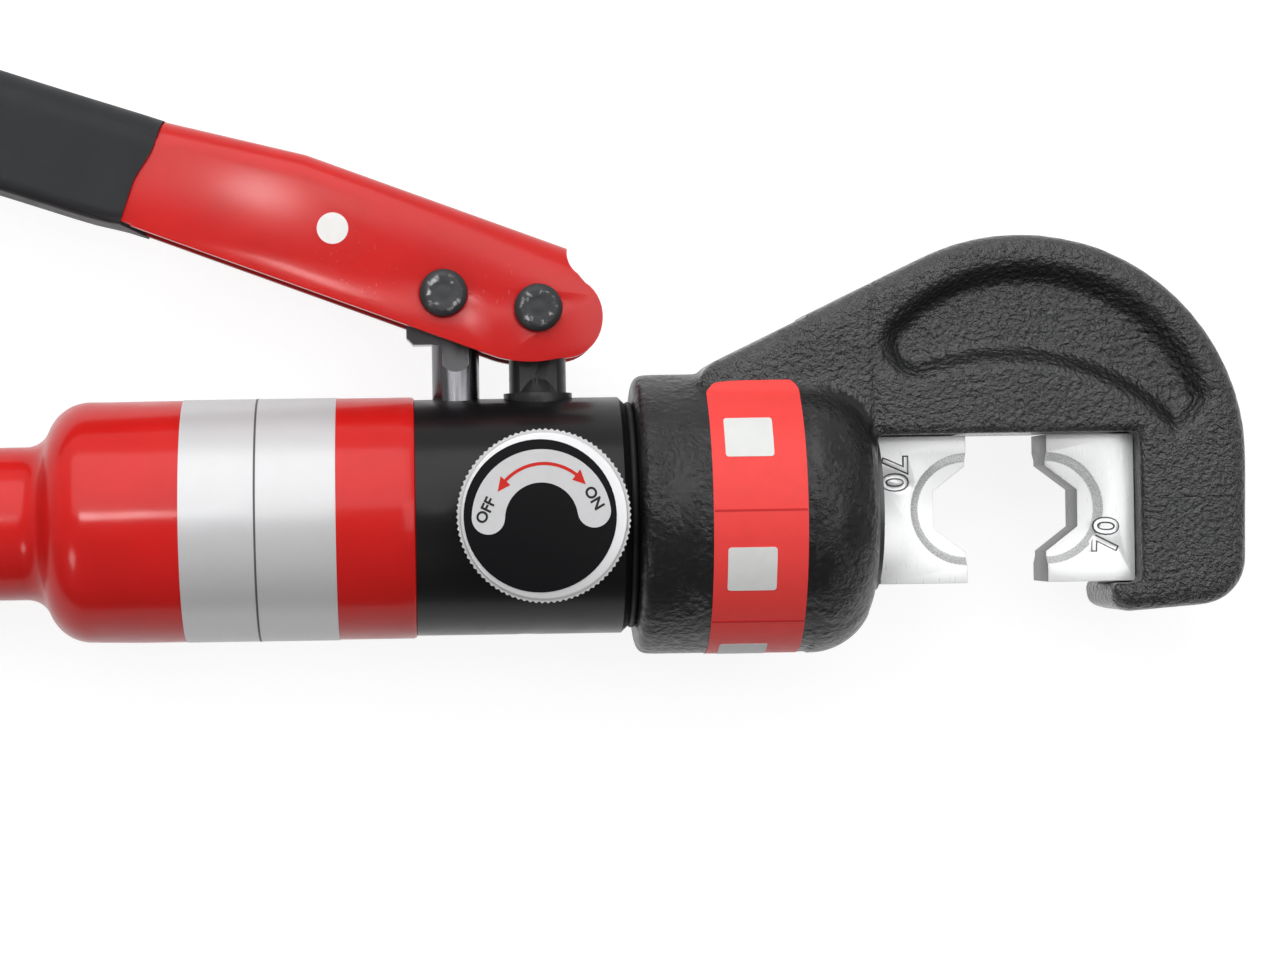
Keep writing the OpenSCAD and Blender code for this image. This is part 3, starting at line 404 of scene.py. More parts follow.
@dataclass(frozen=True)
class Enamel(Coat):
    """Sprayed paint with orange peel and dust under a clear gloss."""

    shine: float = 0.1
    patch: float = 16.0
    tones: Point2 = (0.82, 1.1)
    haze: float = 7.0
    layers: tuple[Point3, ...] = ((1.5, 1.0, 0.006),)
    gloss: float = 0.42  # weight of the clear coat
    gloss_rough: float = 0.15
    dust: float = 2.6  # spacing of the specks of dust
    dust_span: Point2 = (0.74, 0.8)  # noise levels between which a speck rises
    dust_height: float = 0.02
    scuffs: tuple[tuple[Point3, float], ...] = ()  # places with light scratches, each a centre and a reach
    scuff_fade: Point2 = (0.3, 1.0)  # distances between which such a place fades out, in reaches
    scratch: Point3 = (0.45, 1.2, 0.45)  # size of a scratch along each axis
    scratch_span: Point2 = (0.72, 0.76)  # noise levels between which a scratch starts
    scratch_share: float = 0.3
    scratch_tone: Colour = (0.75, 0.4, 0.36)

    def lay(self, sheet: ShaderSheet) -> None:
        """Lays the paint, its gloss and its dust.

        Args:
            sheet: The material's node tree.
        """
        super().lay(sheet)
        sheet.surface_set({"Coat Weight": self.gloss, "Coat Roughness": self.gloss_rough})
        specks = sheet.remap(sheet.grain(self.dust, detail=1.0), self.dust_span, RISING)
        sheet.relief(specks, self.dust_height)

    def paint(self, sheet: ShaderSheet) -> Socket:
        """Gives the mottled colour with its scratches.

        Args:
            sheet: The material's node tree.

        Returns:
            The colour.
        """
        paint = super().paint(sheet)
        for centre, reach in self.scuffs:
            noise_level = sheet.grain(self.scratch, detail=1.0)
            lines = sheet.remap(noise_level, self.scratch_span, (0.0, self.scratch_share))
            near = sheet.remap(sheet.distance((reach, reach, reach), centre), self.scuff_fade, FALLING)
            paint = sheet.mix(sheet.times(lines, near), paint, self.scratch_tone)
        return paint


@dataclass(frozen=True)
class ForgedSkin(Finish):
    """Blackened forging with pits from its scale."""

    # Share of the scale that is left in the smoothest and in the roughest places
    cover: Point2 = (0.9, 1.1)
    shine: float = 0.8
    patch: float = 9.0  # width of these places
    patch_span: Point2 = (0.45, 0.65)  # noise levels between which they change over
    tones: Point2 = (0.75, 1.3)  # how dark and how light they are
    pit: float = 1.3
    pit_span: Point2 = (0.1, 0.7)  # distances from a pit's middle between which it turns dull
    pit_depth: float = 0.18
    scale: Point2 = (0.92, 0.66)  # width of a flake of scale, and its depth
    fine: Point2 = (0.4, 0.09)  # width of the finest grain, and its depth

    def lay(self, sheet: ShaderSheet) -> None:
        """Lays the skin with pits of three sizes.

        Args:
            sheet: The material's node tree.
        """
        pits = sheet.cells(self.pit)
        patches = sheet.grain(self.patch)
        share = sheet.remap(patches, self.patch_span, self.cover)
        sheet.surface_set({
            "Base Color": self.mottle(sheet, patches, self.tones),
            "Roughness": sheet.remap(pits, self.pit_span, (self.dull, self.rough)),
            "Specular IOR Level": self.shine,
        })
        sheet.relief(sheet.times(sheet.grain(self.scale[0]), share), self.scale[1])
        sheet.relief(sheet.times(pits, share), self.pit_depth)
        sheet.relief(sheet.times(sheet.grain(self.fine[0], detail=2.0), share), self.fine[1])


@dataclass(frozen=True)
class Metal(Finish):
    """Bare or plated metal with tool marks along one way."""

    marks: Point3 = (0.25, 0.25, 0.25)  # length of a tool mark along each axis
    mark_depth: float = 0.003
    stain: float = 0.85  # how much darker the stained places are
    patch: float = 5.0  # width of these places
    metallic: float = 1.0  # share of bare metal; a blasted or plated face is partly matt

    def lay(self, sheet: ShaderSheet) -> None:
        """Lays the metal with its marks and stains.

        Args:
            sheet: The material's node tree.
        """
        lines = sheet.grain(self.marks)
        sheet.surface_set({
            "Base Color": self.mottle(sheet, sheet.grain(self.patch), (self.stain, 1.0)),
            "Metallic": self.metallic,
            "Roughness": self.gleam(sheet, lines),
        })
        sheet.relief(lines, self.mark_depth)


@dataclass(frozen=True)
class WornOxide(Finish):
    """Blackened steel that is rubbed bright in places."""

    bright: Colour = (0.42, 0.42, 0.43)  # colour of the rubbed places
    rubbed: float = 0.7  # noise level above which the black is gone
    fade: float = 0.12  # noise levels over which it goes
    bare: float = 0.9  # share of bare metal that shows where it is gone
    patch: float = 1.6  # width of a rubbed place
    metal: Point2 = (0.2, 0.8)  # how metallic the black and the rubbed places are
    shine: float = 0.35
    haze: float = 0.9  # width of its duller places
    grain_size: float = 0.5
    grain_depth: float = 0.02
    rings: tuple[Point2, ...] = ()  # axes along Z of round marks that hold all the rubbed places
    ring_radius: float = 2.8  # radius of such a mark
    ring_inner: Point2 = (0.7, 0.95)  # where its inner edge fades in, in radii
    ring_outer: Point2 = (1.05, 1.35)  # where its outer edge fades out, in radii
    ring_height: float = 1e6  # height of a mark, which reaches past the piece

    def lay(self, sheet: ShaderSheet) -> None:
        """Lays the oxide and the rubbed spots.

        Args:
            sheet: The material's node tree.
        """
        levels = (self.rubbed, self.rubbed + self.fade)
        wear = sheet.remap(sheet.grain(self.patch, detail=5.0), levels, (0.0, self.bare))
        if self.rings:
            wear = sheet.times(wear, self.ring_marks(sheet))
        sheet.surface_set({
            "Base Color": sheet.mix(wear, self.colour, self.bright),
            "Metallic": sheet.remap(wear, RISING, self.metal),
            "Specular IOR Level": self.shine,
            "Roughness": self.gleam(sheet, sheet.grain(self.haze)),
        })
        sheet.relief(sheet.grain(self.grain_size), self.grain_depth)

    def ring_marks(self, sheet: ShaderSheet) -> Socket:
        """Marks a ring round each axis.

        Args:
            sheet: The material's node tree.

        Returns:
            1 on the rings, 0 elsewhere.
        """
        marks = None
        for x, y in self.rings:
            size = (self.ring_radius, self.ring_radius, self.ring_height)
            radius = sheet.distance(size, (x, y, 0.0))
            inside = sheet.remap(radius, self.ring_inner, RISING)
            ring = sheet.times(inside, sheet.remap(radius, self.ring_outer, FALLING))
            marks = sheet.greater(marks, ring) if marks else ring
        return marks


RED_ENAMEL = Enamel("finish_red_enamel", (0.64, 0.012, 0.01), 0.3, 0.42)
LEVER_ENAMEL = Enamel(
    "finish_lever_enamel", (0.62, 0.012, 0.01), 0.36, 0.5, gloss=0.55, gloss_rough=0.2,
    scuffs=(((-128.0, 46.5, 9.0), 10.0), ((-104.0, 43.0, 9.0), 7.0)))
BLACK_ENAMEL = Enamel(
    "finish_black_enamel", (0.008, 0.008, 0.009), 0.3, 0.42, layers=((1.2, 1.0, 0.005),), gloss=0.3,
    gloss_rough=0.22)
FORGED_BLACK = ForgedSkin("finish_forged_black", (0.011, 0.011, 0.012), 0.14, 0.28)
COLLAR_BLACK = ForgedSkin(
    "finish_collar_black", (0.009, 0.009, 0.01), 0.28, 0.4, cover=(0.2, 0.9), shine=0.4)
DIE_PLATE = Metal(
    "finish_die_plate", (0.92, 0.925, 0.93), 0.26, 0.4, marks=(0.3, 4.0, 0.3), stain=0.96, metallic=0.25)
DIE_FLARE = Metal("finish_die_flare", (0.86, 0.865, 0.87), 0.2, 0.34, metallic=0.35)
# Dark grey painted on the dies' upright walls and end faces as painted shade
DIE_WALL_SHADE = Metal("finish_die_wall_shade", (0.2, 0.2, 0.21), 0.3, 0.46, marks=(2.0, 2.0, 0.25), metallic=0.6)
# Near-black painted on the sloped sides of the stamped figures as painted shade in the stamp
DIE_MARK_SHADE = Metal("finish_die_mark_shade", (0.1, 0.1, 0.105), 0.4, 0.55, metallic=0.4)
CHROME = Metal("finish_chrome", (0.18, 0.18, 0.19), 0.16, 0.28, marks=(0.3, 6.0, 0.3), mark_depth=0.001)
MILLED_GREY = Metal(
    "finish_milled_grey", (0.1, 0.1, 0.105), 0.34, 0.48, marks=(2.5, 0.25, 0.25), metallic=0.5)
GROUND_STEEL = Metal("finish_ground_steel", (0.66, 0.66, 0.67), 0.18, 0.3, marks=(0.25, 5.0, 5.0))
SPRING_WIRE = Metal("finish_spring_wire", (0.34, 0.34, 0.35), 0.3, 0.42)
DARK_STEEL = WornOxide("finish_dark_steel", (0.035, 0.035, 0.037), 0.34, 0.48)
PIN_OXIDE = WornOxide(
    "finish_pin_oxide", (0.034, 0.035, 0.037), 0.32, 0.46, rubbed=0.54, patch=1.4,
    rings=((-95.2, 39.0), (-112.9, 42.0)))
POST_BLACK = WornOxide("finish_post_black", (0.025, 0.025, 0.026), 0.3, 0.42, rubbed=0.72)
KNOB_RING = Metal("finish_knob_ring", (0.72, 0.72, 0.73), 0.28, 0.4, metallic=0.35, stain=0.94)
KNOB_KNURL = Metal("finish_knob_knurl", (0.34, 0.34, 0.35), 0.28, 0.4, marks=(0.3, 0.3, 2.5), metallic=0.6)
BRASS = Metal("finish_brass", (0.62, 0.42, 0.16), 0.22, 0.34)
VINYL = Moulded("finish_vinyl", (0.026, 0.027, 0.03), 0.44, 0.56, shine=0.15)
RUBBER = Moulded("finish_rubber", (0.012, 0.012, 0.012), 0.5, 0.65)
NYLON = Moulded("finish_nylon", (0.62, 0.6, 0.54), 0.4, 0.5)
LABEL_RED = Coat("finish_label_red", (0.9, 0.066, 0.06), 0.36, 0.44)
LABEL_SEAM = Coat("finish_label_seam", (0.6, 0.02, 0.022), 0.4, 0.5)
LABEL_PALE = Coat("finish_label_pale", (0.77, 0.78, 0.76), 0.36, 0.44)
FOIL = Metal(
    "finish_foil", (0.64, 0.64, 0.65), 0.3, 0.4, stain=0.95, marks=(0.2, 5.0, 5.0), mark_depth=0.001,
    metallic=0.2)
FOIL_LINE = Coat("finish_foil_line", (0.1, 0.1, 0.1), 0.4, 0.5)
FACE_BLACK = Coat("finish_face_black", (0.006, 0.006, 0.007), 0.4, 0.5, shine=0.08)
FACE_SILVER = Coat("finish_face_silver", (0.64, 0.64, 0.65), 0.36, 0.46, metal=0.2)
FACE_INK = Coat("finish_face_ink", (0.02, 0.02, 0.021), 0.4, 0.5)
FACE_RED = Coat("finish_face_red", (0.62, 0.022, 0.014), 0.4, 0.5)
DOT_WHITE = Coat("finish_dot_white", (0.84, 0.83, 0.81), 0.36, 0.44)

SLOT_FINISH: dict[Slot, Finish] = {
    Slot.BODY_BLACK: BLACK_ENAMEL,
    Slot.CAST_BLACK: FORGED_BLACK,
    Slot.RED_PAINT: RED_ENAMEL,
    Slot.GRIP_BLACK: VINYL,
    Slot.DIE_STEEL: DIE_PLATE,
    Slot.BRIGHT_STEEL: GROUND_STEEL,
    Slot.SPRING_STEEL: SPRING_WIRE,
    Slot.DARK_STEEL: DARK_STEEL,
    Slot.PIN_DARK: PIN_OXIDE,
    Slot.KNOB_ALUMINIUM: KNOB_RING,
    Slot.BRASS: BRASS,
    Slot.RUBBER: RUBBER,
    Slot.POLYMER: NYLON,
}


def polar(centre: Point2, radius: float, turn: float) -> Point2:
    """Gives the point at a radius and an angle in degrees about a centre."""
    way = math.radians(turn)
    return centre[0] + radius * math.cos(way), centre[1] + radius * math.sin(way)


def arc(centre: Point2, radius: float, start: float, end: float, steps: int) -> list[Point2]:
    """Gives points along an arc.

    Args:
        centre: Centre of the arc.
        radius: Its radius.
        start: Angle of the first point, in degrees.
        end: Angle of the last point, in degrees.
        steps: Number of equal steps between them.

    Returns:
        The points, from start to end.
    """
    return [polar(centre, radius, start + (end - start) * step / steps) for step in range(steps + 1)]


def outline_plate(outline: Sequence[Point2], low: float, thick: float) -> Shape:
    """Makes a flat plate from its outline.

    Args:
        outline: Corners in X and Y, anticlockwise.
        low: Height of the lower face.
        thick: Thickness of the plate.

    Returns:
        The plate, in metres.
    """
    shape = bmesh.new()
    corners = [shape.verts.new(Vector((x, y, low)) * MM) for x, y in outline]
    face = shape.faces.new(corners)
    grown = bmesh.ops.extrude_face_region(shape, geom=[face])["geom"]
    raised = [part for part in grown if isinstance(part, Corner)]
    bmesh.ops.translate(shape, verts=raised, vec=Vector((0.0, 0.0, thick * MM)))
    bmesh.ops.recalc_face_normals(shape, faces=shape.faces)
    return shape


def disc(centre: Point2, radius: float, low: float, thick: float, steps: int) -> Shape:
    """Makes a round plate.

    Args:
        centre: Its middle in X and Y.
        radius: Its radius.
        low: Height of the lower face.
        thick: Thickness of the plate.
        steps: Number of steps round it.

    Returns:
        The plate, in metres.
    """
    return outline_plate(arc(centre, radius, 0.0, 360.0, steps)[:-1], low, thick)


def turned_ring(section: Sequence[Point2], steps: int = 128) -> Shape:
    """Spins a closed section around the X axis.

    Args:
        section: Corners as place along X and radius.
        steps: Number of steps round the axis.

    Returns:
        The turned shape, in metres.
    """
    shape = bmesh.new()
    corners = [shape.verts.new(Vector((x, radius, 0.0)) * MM) for x, radius in section]
    sides = [shape.edges.new(pair) for pair in zip(corners, corners[1:] + corners[:1])]
    bmesh.ops.spin(
        shape, geom=corners + sides, cent=Vector(), axis=ALONG, angle=math.tau, steps=steps, use_merge=True)
    bmesh.ops.remove_doubles(shape, verts=shape.verts, dist=WELD)
    bmesh.ops.recalc_face_normals(shape, faces=shape.faces)
    return shape


def join_facets(shape: Shape) -> None:
    """Joins the facets that lie in one plane.

    Args:
        shape: The mesh to change.
    """
    bmesh.ops.dissolve_limit(
        shape, angle_limit=FLAT_ANGLE, use_dissolve_boundaries=False,
        verts=shape.verts, edges=shape.edges, delimit=set())


def round_off(shape: Shape, parts: Sequence, width: float, segments: int, affect: str = "EDGES") -> None:
    """Rounds edges or corners.

    Args:
        shape: The shape to change.
        parts: Its edges or vertices to round.
        width: Width of the rounding, in the shape's own unit.
        segments: Number of faces across the rounding.
        affect: What is rounded, EDGES or VERTICES.
    """
    bmesh.ops.bevel(
        shape, geom=parts, offset=width, offset_type="OFFSET", segments=segments, profile=0.5,
        affect=affect, clamp_overlap=True, material=-1)


def soften(shape: Shape, width: float, above: float = -1000.0) -> None:
    """Joins flat facets and rounds the sharp edges.

    Args:
        shape: The shape to change.
        width: Width of the rounding.
        above: Lowest Z of an edge that is rounded.
    """
    join_facets(shape)
    sharp = [
        edge for edge in shape.edges
        if edge.is_manifold and edge.calc_face_angle() > SHARP_ANGLE
        and min(corner.co.z for corner in edge.verts) > above * MM]
    round_off(shape, sharp, width * MM, segments=3)


def slice_through(shape: Shape, start: Vector, way: Vector, gap: float, gaps: int, near: float) -> None:
    """Cuts a shape by parallel planes, so that it can bend there.

    Args:
        shape: The shape to cut.
        start: A point one gap before the first plane.
        way: The direction across the planes.
        gap: Distance between the planes.
        gaps: Number of gaps that the planes part.
        near: Distance within which a corner counts as on a plane.
    """
    for step in range(1, gaps):
        bmesh.ops.bisect_plane(
            shape, geom=shape.verts[:] + shape.edges[:] + shape.faces[:], dist=near,
            plane_co=start + way * step * gap, plane_no=way)


def smooth_step(share: float) -> float:
    """Eases a share in and out, from 0 at 0 to 1 at 1."""
    share = min(1.0, max(0.0, share))
    return share * share * (3.0 - 2.0 * share)


def wander(place: Vector, size: float) -> float:
    """Gives smooth noise from about -1 to 1.

    Args:
        place: A point, in metres.
        size: Length of a feature.

    Returns:
        The noise at the point.
    """
    return noise.noise(place / (size * MM))


def linked(name: str, data: bpy.types.ID) -> bpy.types.Object:
    """Adds an object to the scene.

    Args:
        name: The object's name.
        data: The mesh, curve, lamp or camera that it shows.

    Returns:
        The object, in the scene.
    """
    holder = bpy.data.objects.new(name, data)
    bpy.context.scene.collection.objects.link(holder)
    return holder


def meshed(shape: Shape, name: str, materials: Iterable[bpy.types.Material]) -> bpy.types.Object:
    """Adds an object with a shape to the scene.

    Args:
        shape: The shape, which is used up.
        name: Name of the object and its mesh.
        materials: Its materials, in order.

    Returns:
        The object.
    """
    mesh = bpy.data.meshes.new(name)
    shape.to_mesh(mesh)
    shape.free()
    for material in materials:
        mesh.materials.append(material)
    return linked(name, mesh)


def discard(holder: bpy.types.Object) -> None:
    """Removes a scratch object and its data."""
    bpy.data.batch_remove([holder, holder.data])


def settled(holder: bpy.types.Object) -> Shape:
    """Gives an object's shape with its modifiers applied, and removes the object.

    Args:
        holder: A scratch object.

    Returns:
        The final shape.
    """
    bpy.context.view_layer.update()
    found = holder.evaluated_get(bpy.context.evaluated_depsgraph_get())
    shape = bmesh.new()
    shape.from_mesh(found.to_mesh())
    found.to_mesh_clear()
    discard(holder)
    return shape


def lettering(
        words: str, cap: float, thick: float, place: Matrix, bold: float = 0.0, slope: float = 0.0) -> Shape:
    """Makes raised letters from the built-in font.

    Args:
        words: What they say.
        cap: Height of a capital.
        thick: Thickness of the letters.
        place: Turns and moves the letters from the middle of their face, in metres.
        bold: How far the strokes are widened, as a share of the font's size.
        slope: Width of sloped sides, as a share of the font's size; 0 for upright ones.

    Returns:
        The letters, in metres.
    """
    curve = bpy.data.curves.new("letters", "FONT")
    curve.body = words
    curve.extrude = 0.0 if slope else 0.5
    curve.bevel_depth = slope
    curve.bevel_resolution = 0
    curve.offset = bold
    curve.resolution_u = 4
    shape = settled(linked("letters", curve))
    bmesh.ops.remove_doubles(shape, verts=shape.verts, dist=1e-5)
    xs = [corner.co.x for corner in shape.verts]
    ys = [corner.co.y for corner in shape.verts]
    middle = Vector(((min(xs) + max(xs)) / 2, (min(ys) + max(ys)) / 2, 0.0))
    scale = cap * MM / (max(ys) - min(ys))
    flatten = thick * MM / (2.0 * max(corner.co.z for corner in shape.verts))
    bmesh.ops.translate(shape, verts=shape.verts, vec=-middle)
    bmesh.ops.scale(shape, verts=shape.verts, vec=Vector((scale, scale, flatten)))
    bmesh.ops.transform(shape, matrix=place, verts=shape.verts)
    return shape


def turned_place(spot: Point3, degrees: float) -> Matrix:
    """Gives a turn about Z followed by a move.

    Args:
        spot: Where the origin goes.
        degrees: The turn.

    Returns:
        The matrix, in metres.
    """
    return Matrix.Translation(Vector(spot) * MM) @ Matrix.Rotation(math.radians(degrees), 4, "Z")


class Bench:
    """Makes finished pieces that ride on the bodies of the frame."""

    def __init__(self, frame: dict) -> None:
        """Keeps the frame's nodes and their slots.
        """
        self.nodes: dict[str, bpy.types.Object] = frame["nodes"]
        self.slots = {row["node"]: Slot(row["material_slot"]) for row in frame["record"]["subparts"]}

    def copy(self, node: str) -> Shape:
        """Gives a merged copy of a node's shape.

        Args:
            node: The node's name.

        Returns:
            The copy, as a mesh to work on.
        """
        shape = bmesh.new()
        shape.from_mesh(self.nodes[node].data)
        bmesh.ops.remove_doubles(shape, verts=shape.verts, dist=WELD)
        return shape

    def dress_all(self) -> None:
        """Gives every node the finish of its slot."""
        for name, holder in self.nodes.items():
            self.dress(name, SLOT_FINISH[self.slots[name]])
            LOG.info("node %s: %s", name, holder.data.materials[0].name)

    def dress(self, node: str, finish: Finish) -> None:
        """Gives one node a finish of its own.

        Args:
            node: The node's name.
            finish: The finish to give it.
        """
        materials = self.nodes[node].data.materials
        materials.clear()
        materials.append(finish.material())

    def block(
            self, shape: Shape, finishes: Iterable[Finish] = (), name: str = "scratch") -> bpy.types.Object:
        """Puts a shape, which is used up, in an object with its finishes."""
        return meshed(shape, name, [finish.material() for finish in finishes])

    def piece(self, shape: Shape, name: str, body: Body | None, slot: Slot, finishes: Sequence[Finish],
              stands_for: Sequence[str] = (), crease: float = 32.0) -> bpy.types.Object:
        """Makes a piece from a shape.

        Args:
            shape: The shape, in metres, which is used up.
            name: Name of the piece.
            body: The body that it rides on, or None for a piece on no body.
            slot: The record's slot of its finish.
            finishes: Its materials, in order.
            stands_for: Nodes that it replaces.
            crease: Angle above which an edge stays sharp, in degrees.

        Returns:
            The piece.
        """
        made = self.block(shape, finishes, name)
        made.data.shade_smooth()
        made.data.set_sharp_from_angle(angle=math.radians(crease))
        if body:
            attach(made, body.value)
        if stands_for:
            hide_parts(*stands_for)
        carrier = body.value if body else "two bodies"
        LOG.info("piece %s: %d faces on %s", name, len(made.data.polygons), carrier)
        return made

    def softened(self, node: str, name: str, body: Body, finish: Finish, width: float) -> None:
        """Replaces a node by a copy with rounded edges.

        Args:
            node: The node.
            name: Name of the piece.
            body: The body that it rides on.
            finish: Its finish.
            width: Width of the rounding.
        """
        shape = self.copy(node)
        soften(shape, width)
        self.piece(shape, name, body, self.slots[node], [finish], [node])


@dataclass
class Assembly:
    """A sub-assembly of the tool."""

    bench: Bench  # where its pieces are made

    def build(self) -> None:
        """Makes the pieces and dresses them."""
        raise NotImplementedError


@dataclass(frozen=True)
class Zone:
    """A box of the head with its own amount of smoothing."""

    low: Point3  # lowest corner
    high: Point3
    passes: int  # how many times its surface is relaxed

    def holds(self, place: Vector) -> bool:
        """Tells whether a point in metres is in the box."""
        return all(low <= part / MM <= high for low, part, high in zip(self.low, place, self.high))


@dataclass(frozen=True)
class Crescent:
    """The crescent pocket in each side of the head, with its sloped walls."""

    outer: Point2 = (-4.7, 9.75)  # centre of the arc on the outside, in X and Y
    outer_radius: float = 35.8
    inner: Point2 = (-8.3, -15.5)  # centre of the arc on the inside
    inner_radius: float = 43.0
    turns: Point2 = (44.3, 109.2)  # angles about the inner centre where the pocket ends, in degrees
    overlap: float = 1.6  # how far it runs on past them
    left: Point2 = (-24.6, 31.2)  # centre of the round left end
    left_radius: float = 6.5
    face: float = 13.5  # height of the head's side face
    solid_depth: float = 3.5  # depth of the solid's upright pocket
    solid_reach: float = 4.0  # how far that pocket may lie outside the outline
    depth: float = 4.4
    wall: float = 4.2  # width of its sloped wall
    lip: float = 0.9  # how far the slope starts outside the outline
    margin: float = 1.0  # how far below the pocket's floor the vertices to move may lie

    def inside(self, spot: Vector) -> float:
        """Gives how far a point in X and Y lies inside the outline.

        Args:
            spot: The point.

        Returns:
            The distance in millimetres, below zero outside.
        """
        from_inner = spot - Vector(self.inner)
        first, last = (math.radians(turn) for turn in self.turns)
        after_first = from_inner.y * math.cos(first) - from_inner.x * math.sin(first)
        before_last = from_inner.x * math.sin(last) - from_inner.y * math.cos(last)
        crescent = min(
            self.outer_radius - (spot - Vector(self.outer)).length,
            from_inner.length - self.inner_radius,
            min(after_first, before_last) + self.overlap)
        left = self.left_radius - (spot - Vector(self.left)).length
        return max(crescent, left)

    def fill(self, corners: Iterable[Corner]) -> None:
        """Raises the floor of the solid's pocket to the side faces.

        Args:
            corners: Vertices of the solid.
        """
        floor = (self.face - self.solid_depth) * MM
        for corner in corners:
            on_floor = abs(abs(corner.co.z) - floor) < CLOSE
            if on_floor and self.inside(corner.co.xy / MM) > -self.solid_reach:
                corner.co.z = math.copysign(self.face * MM, corner.co.z)

    def press(self, corners: Iterable[Corner]) -> list[Corner]:
        """Moves vertices of the side faces onto the sloped pocket.

        Args:
            corners: Vertices of the head's skin.

        Returns:
            The vertices that were moved.
        """
        moved = []
        for corner in corners:
            far = self.inside(corner.co.xy / MM) + self.lip
            if far > 0.0 and abs(corner.co.z) > (self.face - self.depth - self.margin) * MM:
                level = self.face - self.depth * smooth_step(far / self.wall)
                corner.co.z = math.copysign(level * MM, corner.co.z)
                moved.append(corner)
        return moved


@dataclass
class ForgedHead(Assembly):
    """The forged C head, relaxed from its machined solid."""

    voxel: float = 0.62  # size of the remesh
    throat_half: float = 14.15  # half the height of the machined throat
    throat_end: float = 16.5  # X of the seat at the end of the throat
    ram_face: float = -31.6  # X of the wall behind the moving die
    bore_radius: float = 20.6
    ream_radii: Point2 = (14.0, 15.35)  # radii of the ram's bore, as the remesh may leave it and as it is
    ream_run: Point2 = (-47.0, -16.0)  # X where that bore starts and ends
    collar_radius: float = 26.5
    collar_front: float = -32.4
    nose_round: float = 12.0  # rounding of the collar's nose
    skin: float = 0.9  # reach of the machined faces
    grow: float = 0.25  # how far the skin is raised to make up for the relaxing
    forged_from: float = -45.0  # X where the raised skin starts
    wave: float = 0.05  # height of the forging's waviness
    wave_sizes: Point2 = (6.0, 2.8)  # lengths of its coarse and its fine waves
    fine_share: float = 0.5  # height of the fine waves, as a share of the coarse ones
    all_passes: int = 2  # how many times the whole surface is relaxed
    free_passes: int = 5  # how many times the unmachined surface is
    pocket_passes: int = 4  # how many times the pocket is
    pocket: Crescent = Crescent()
    # Boxes around the rear of the arm, whose rims get rounder towards the collar
    rims: tuple[Zone, ...] = tuple(
        Zone((-62.0, 17.0, -30.0), (front, 70.0, 30.0), 4) for front in (6.0, -6.0, -18.0))
    # The box around the root of the arm, which is relaxed more
    junction: Zone = Zone((-62.0, 8.0, -30.0), (-30.0, 34.0, 30.0), 24)

    def machined(self, place: Vector) -> bool:
        """Tells whether a point lies on a machined face of the throat or the bore.

        Args:
            place: The point.

        Returns:
            Whether it does.
        """
        x, y, z = place / MM
        if x > self.ram_face - self.skin:
            return x < self.throat_end + self.skin and abs(y) < self.throat_half + self.skin
        return math.hypot(y, z) < self.bore_radius or x > self.ram_face - 2.0 * self.skin

    def turned(self, place: Vector) -> bool:
        """Tells whether a point lies on the turned collar or its round nose.

        Args:
            place: The point.

        Returns:
            Whether it does.
        """
        x, y, z = place / MM
        past = max(0.0, x - self.skin - self.collar_front + self.nose_round)
        nose = math.sqrt(max(0.0, self.nose_round ** 2 - past ** 2))
        reach = self.collar_radius - self.nose_round + nose
        return x < self.ram_face and math.hypot(y, z) < reach + self.skin

    def build(self) -> None:
        """Makes the head."""
        shape = self.remeshed()
        free = [corner for corner in shape.verts if not self.machined(corner.co)]
        self.relax(shape, list(shape.verts), self.all_passes)
        self.relax(shape, free, self.free_passes)
        for zone in self.rims:
            self.ease(shape, free, zone)
        self.relax(shape, self.pocket.press(free), self.pocket_passes)
        self.ease(shape, free, self.junction)
        self.raise_skin(shape, free)
        self.ream(shape)
        for face in shape.faces:
            face.material_index = int(self.turned(face.calc_center_median()))
        finishes = [FORGED_BLACK, COLLAR_BLACK]
        self.bench.piece(
            shape, "forged_head", Body.HEAD, Slot.CAST_BLACK, finishes, ["c_head"], crease=180.0)

    def remeshed(self) -> Shape:
        """Gives the solid with its pockets filled, in even faces.

        Returns:
            The solid, as a mesh to work on.
        """
        solid = self.bench.copy("c_head")
        self.pocket.fill(solid.verts)
        holder = self.bench.block(solid)
        remesh = holder.modifiers.new("skin", "REMESH")
        remesh.mode = "VOXEL"
        remesh.voxel_size = self.voxel * MM
        return settled(holder)

    def relax(self, shape: Shape, corners: list[Corner], passes: int) -> None:
        """Relaxes part of the surface.

        Args:
            shape: The head.
            corners: The vertices to move.
            passes: How many times.
        """
        for _ in range(passes):
            bmesh.ops.smooth_vert(
                shape, verts=corners, factor=0.5, use_axis_x=True, use_axis_y=True, use_axis_z=True)

    def ease(self, shape: Shape, corners: list[Corner], zone: Zone) -> None:
        """Relaxes those vertices that lie in a zone."""
        self.relax(shape, [corner for corner in corners if zone.holds(corner.co)], zone.passes)

    def raise_skin(self, shape: Shape, corners: list[Corner]) -> None:
        """Raises the forged skin and makes it wavy.

        Args:
            shape: The head.
            corners: The unmachined vertices.
        """
        shape.normal_update()
        coarse, fine = self.wave_sizes
        for corner in corners:
            if corner.co.x > self.forged_from * MM:
                height = wander(corner.co, coarse) + self.fine_share * wander(corner.co, fine)
                corner.co += corner.normal * (height * self.wave + self.grow) * MM

    def ream(self, shape: Shape) -> None:
        """Opens the bore that the ram slides in, which the remesh left uneven.

        Args:
            shape: The mesh to change.
        """
        start, end = self.ream_run
        least, wanted = self.ream_radii
        for corner in shape.verts:
            radius = corner.co.yz.length / MM
            if start < corner.co.x / MM < end and least < radius < wanted:
                corner.co.yz *= wanted / radius


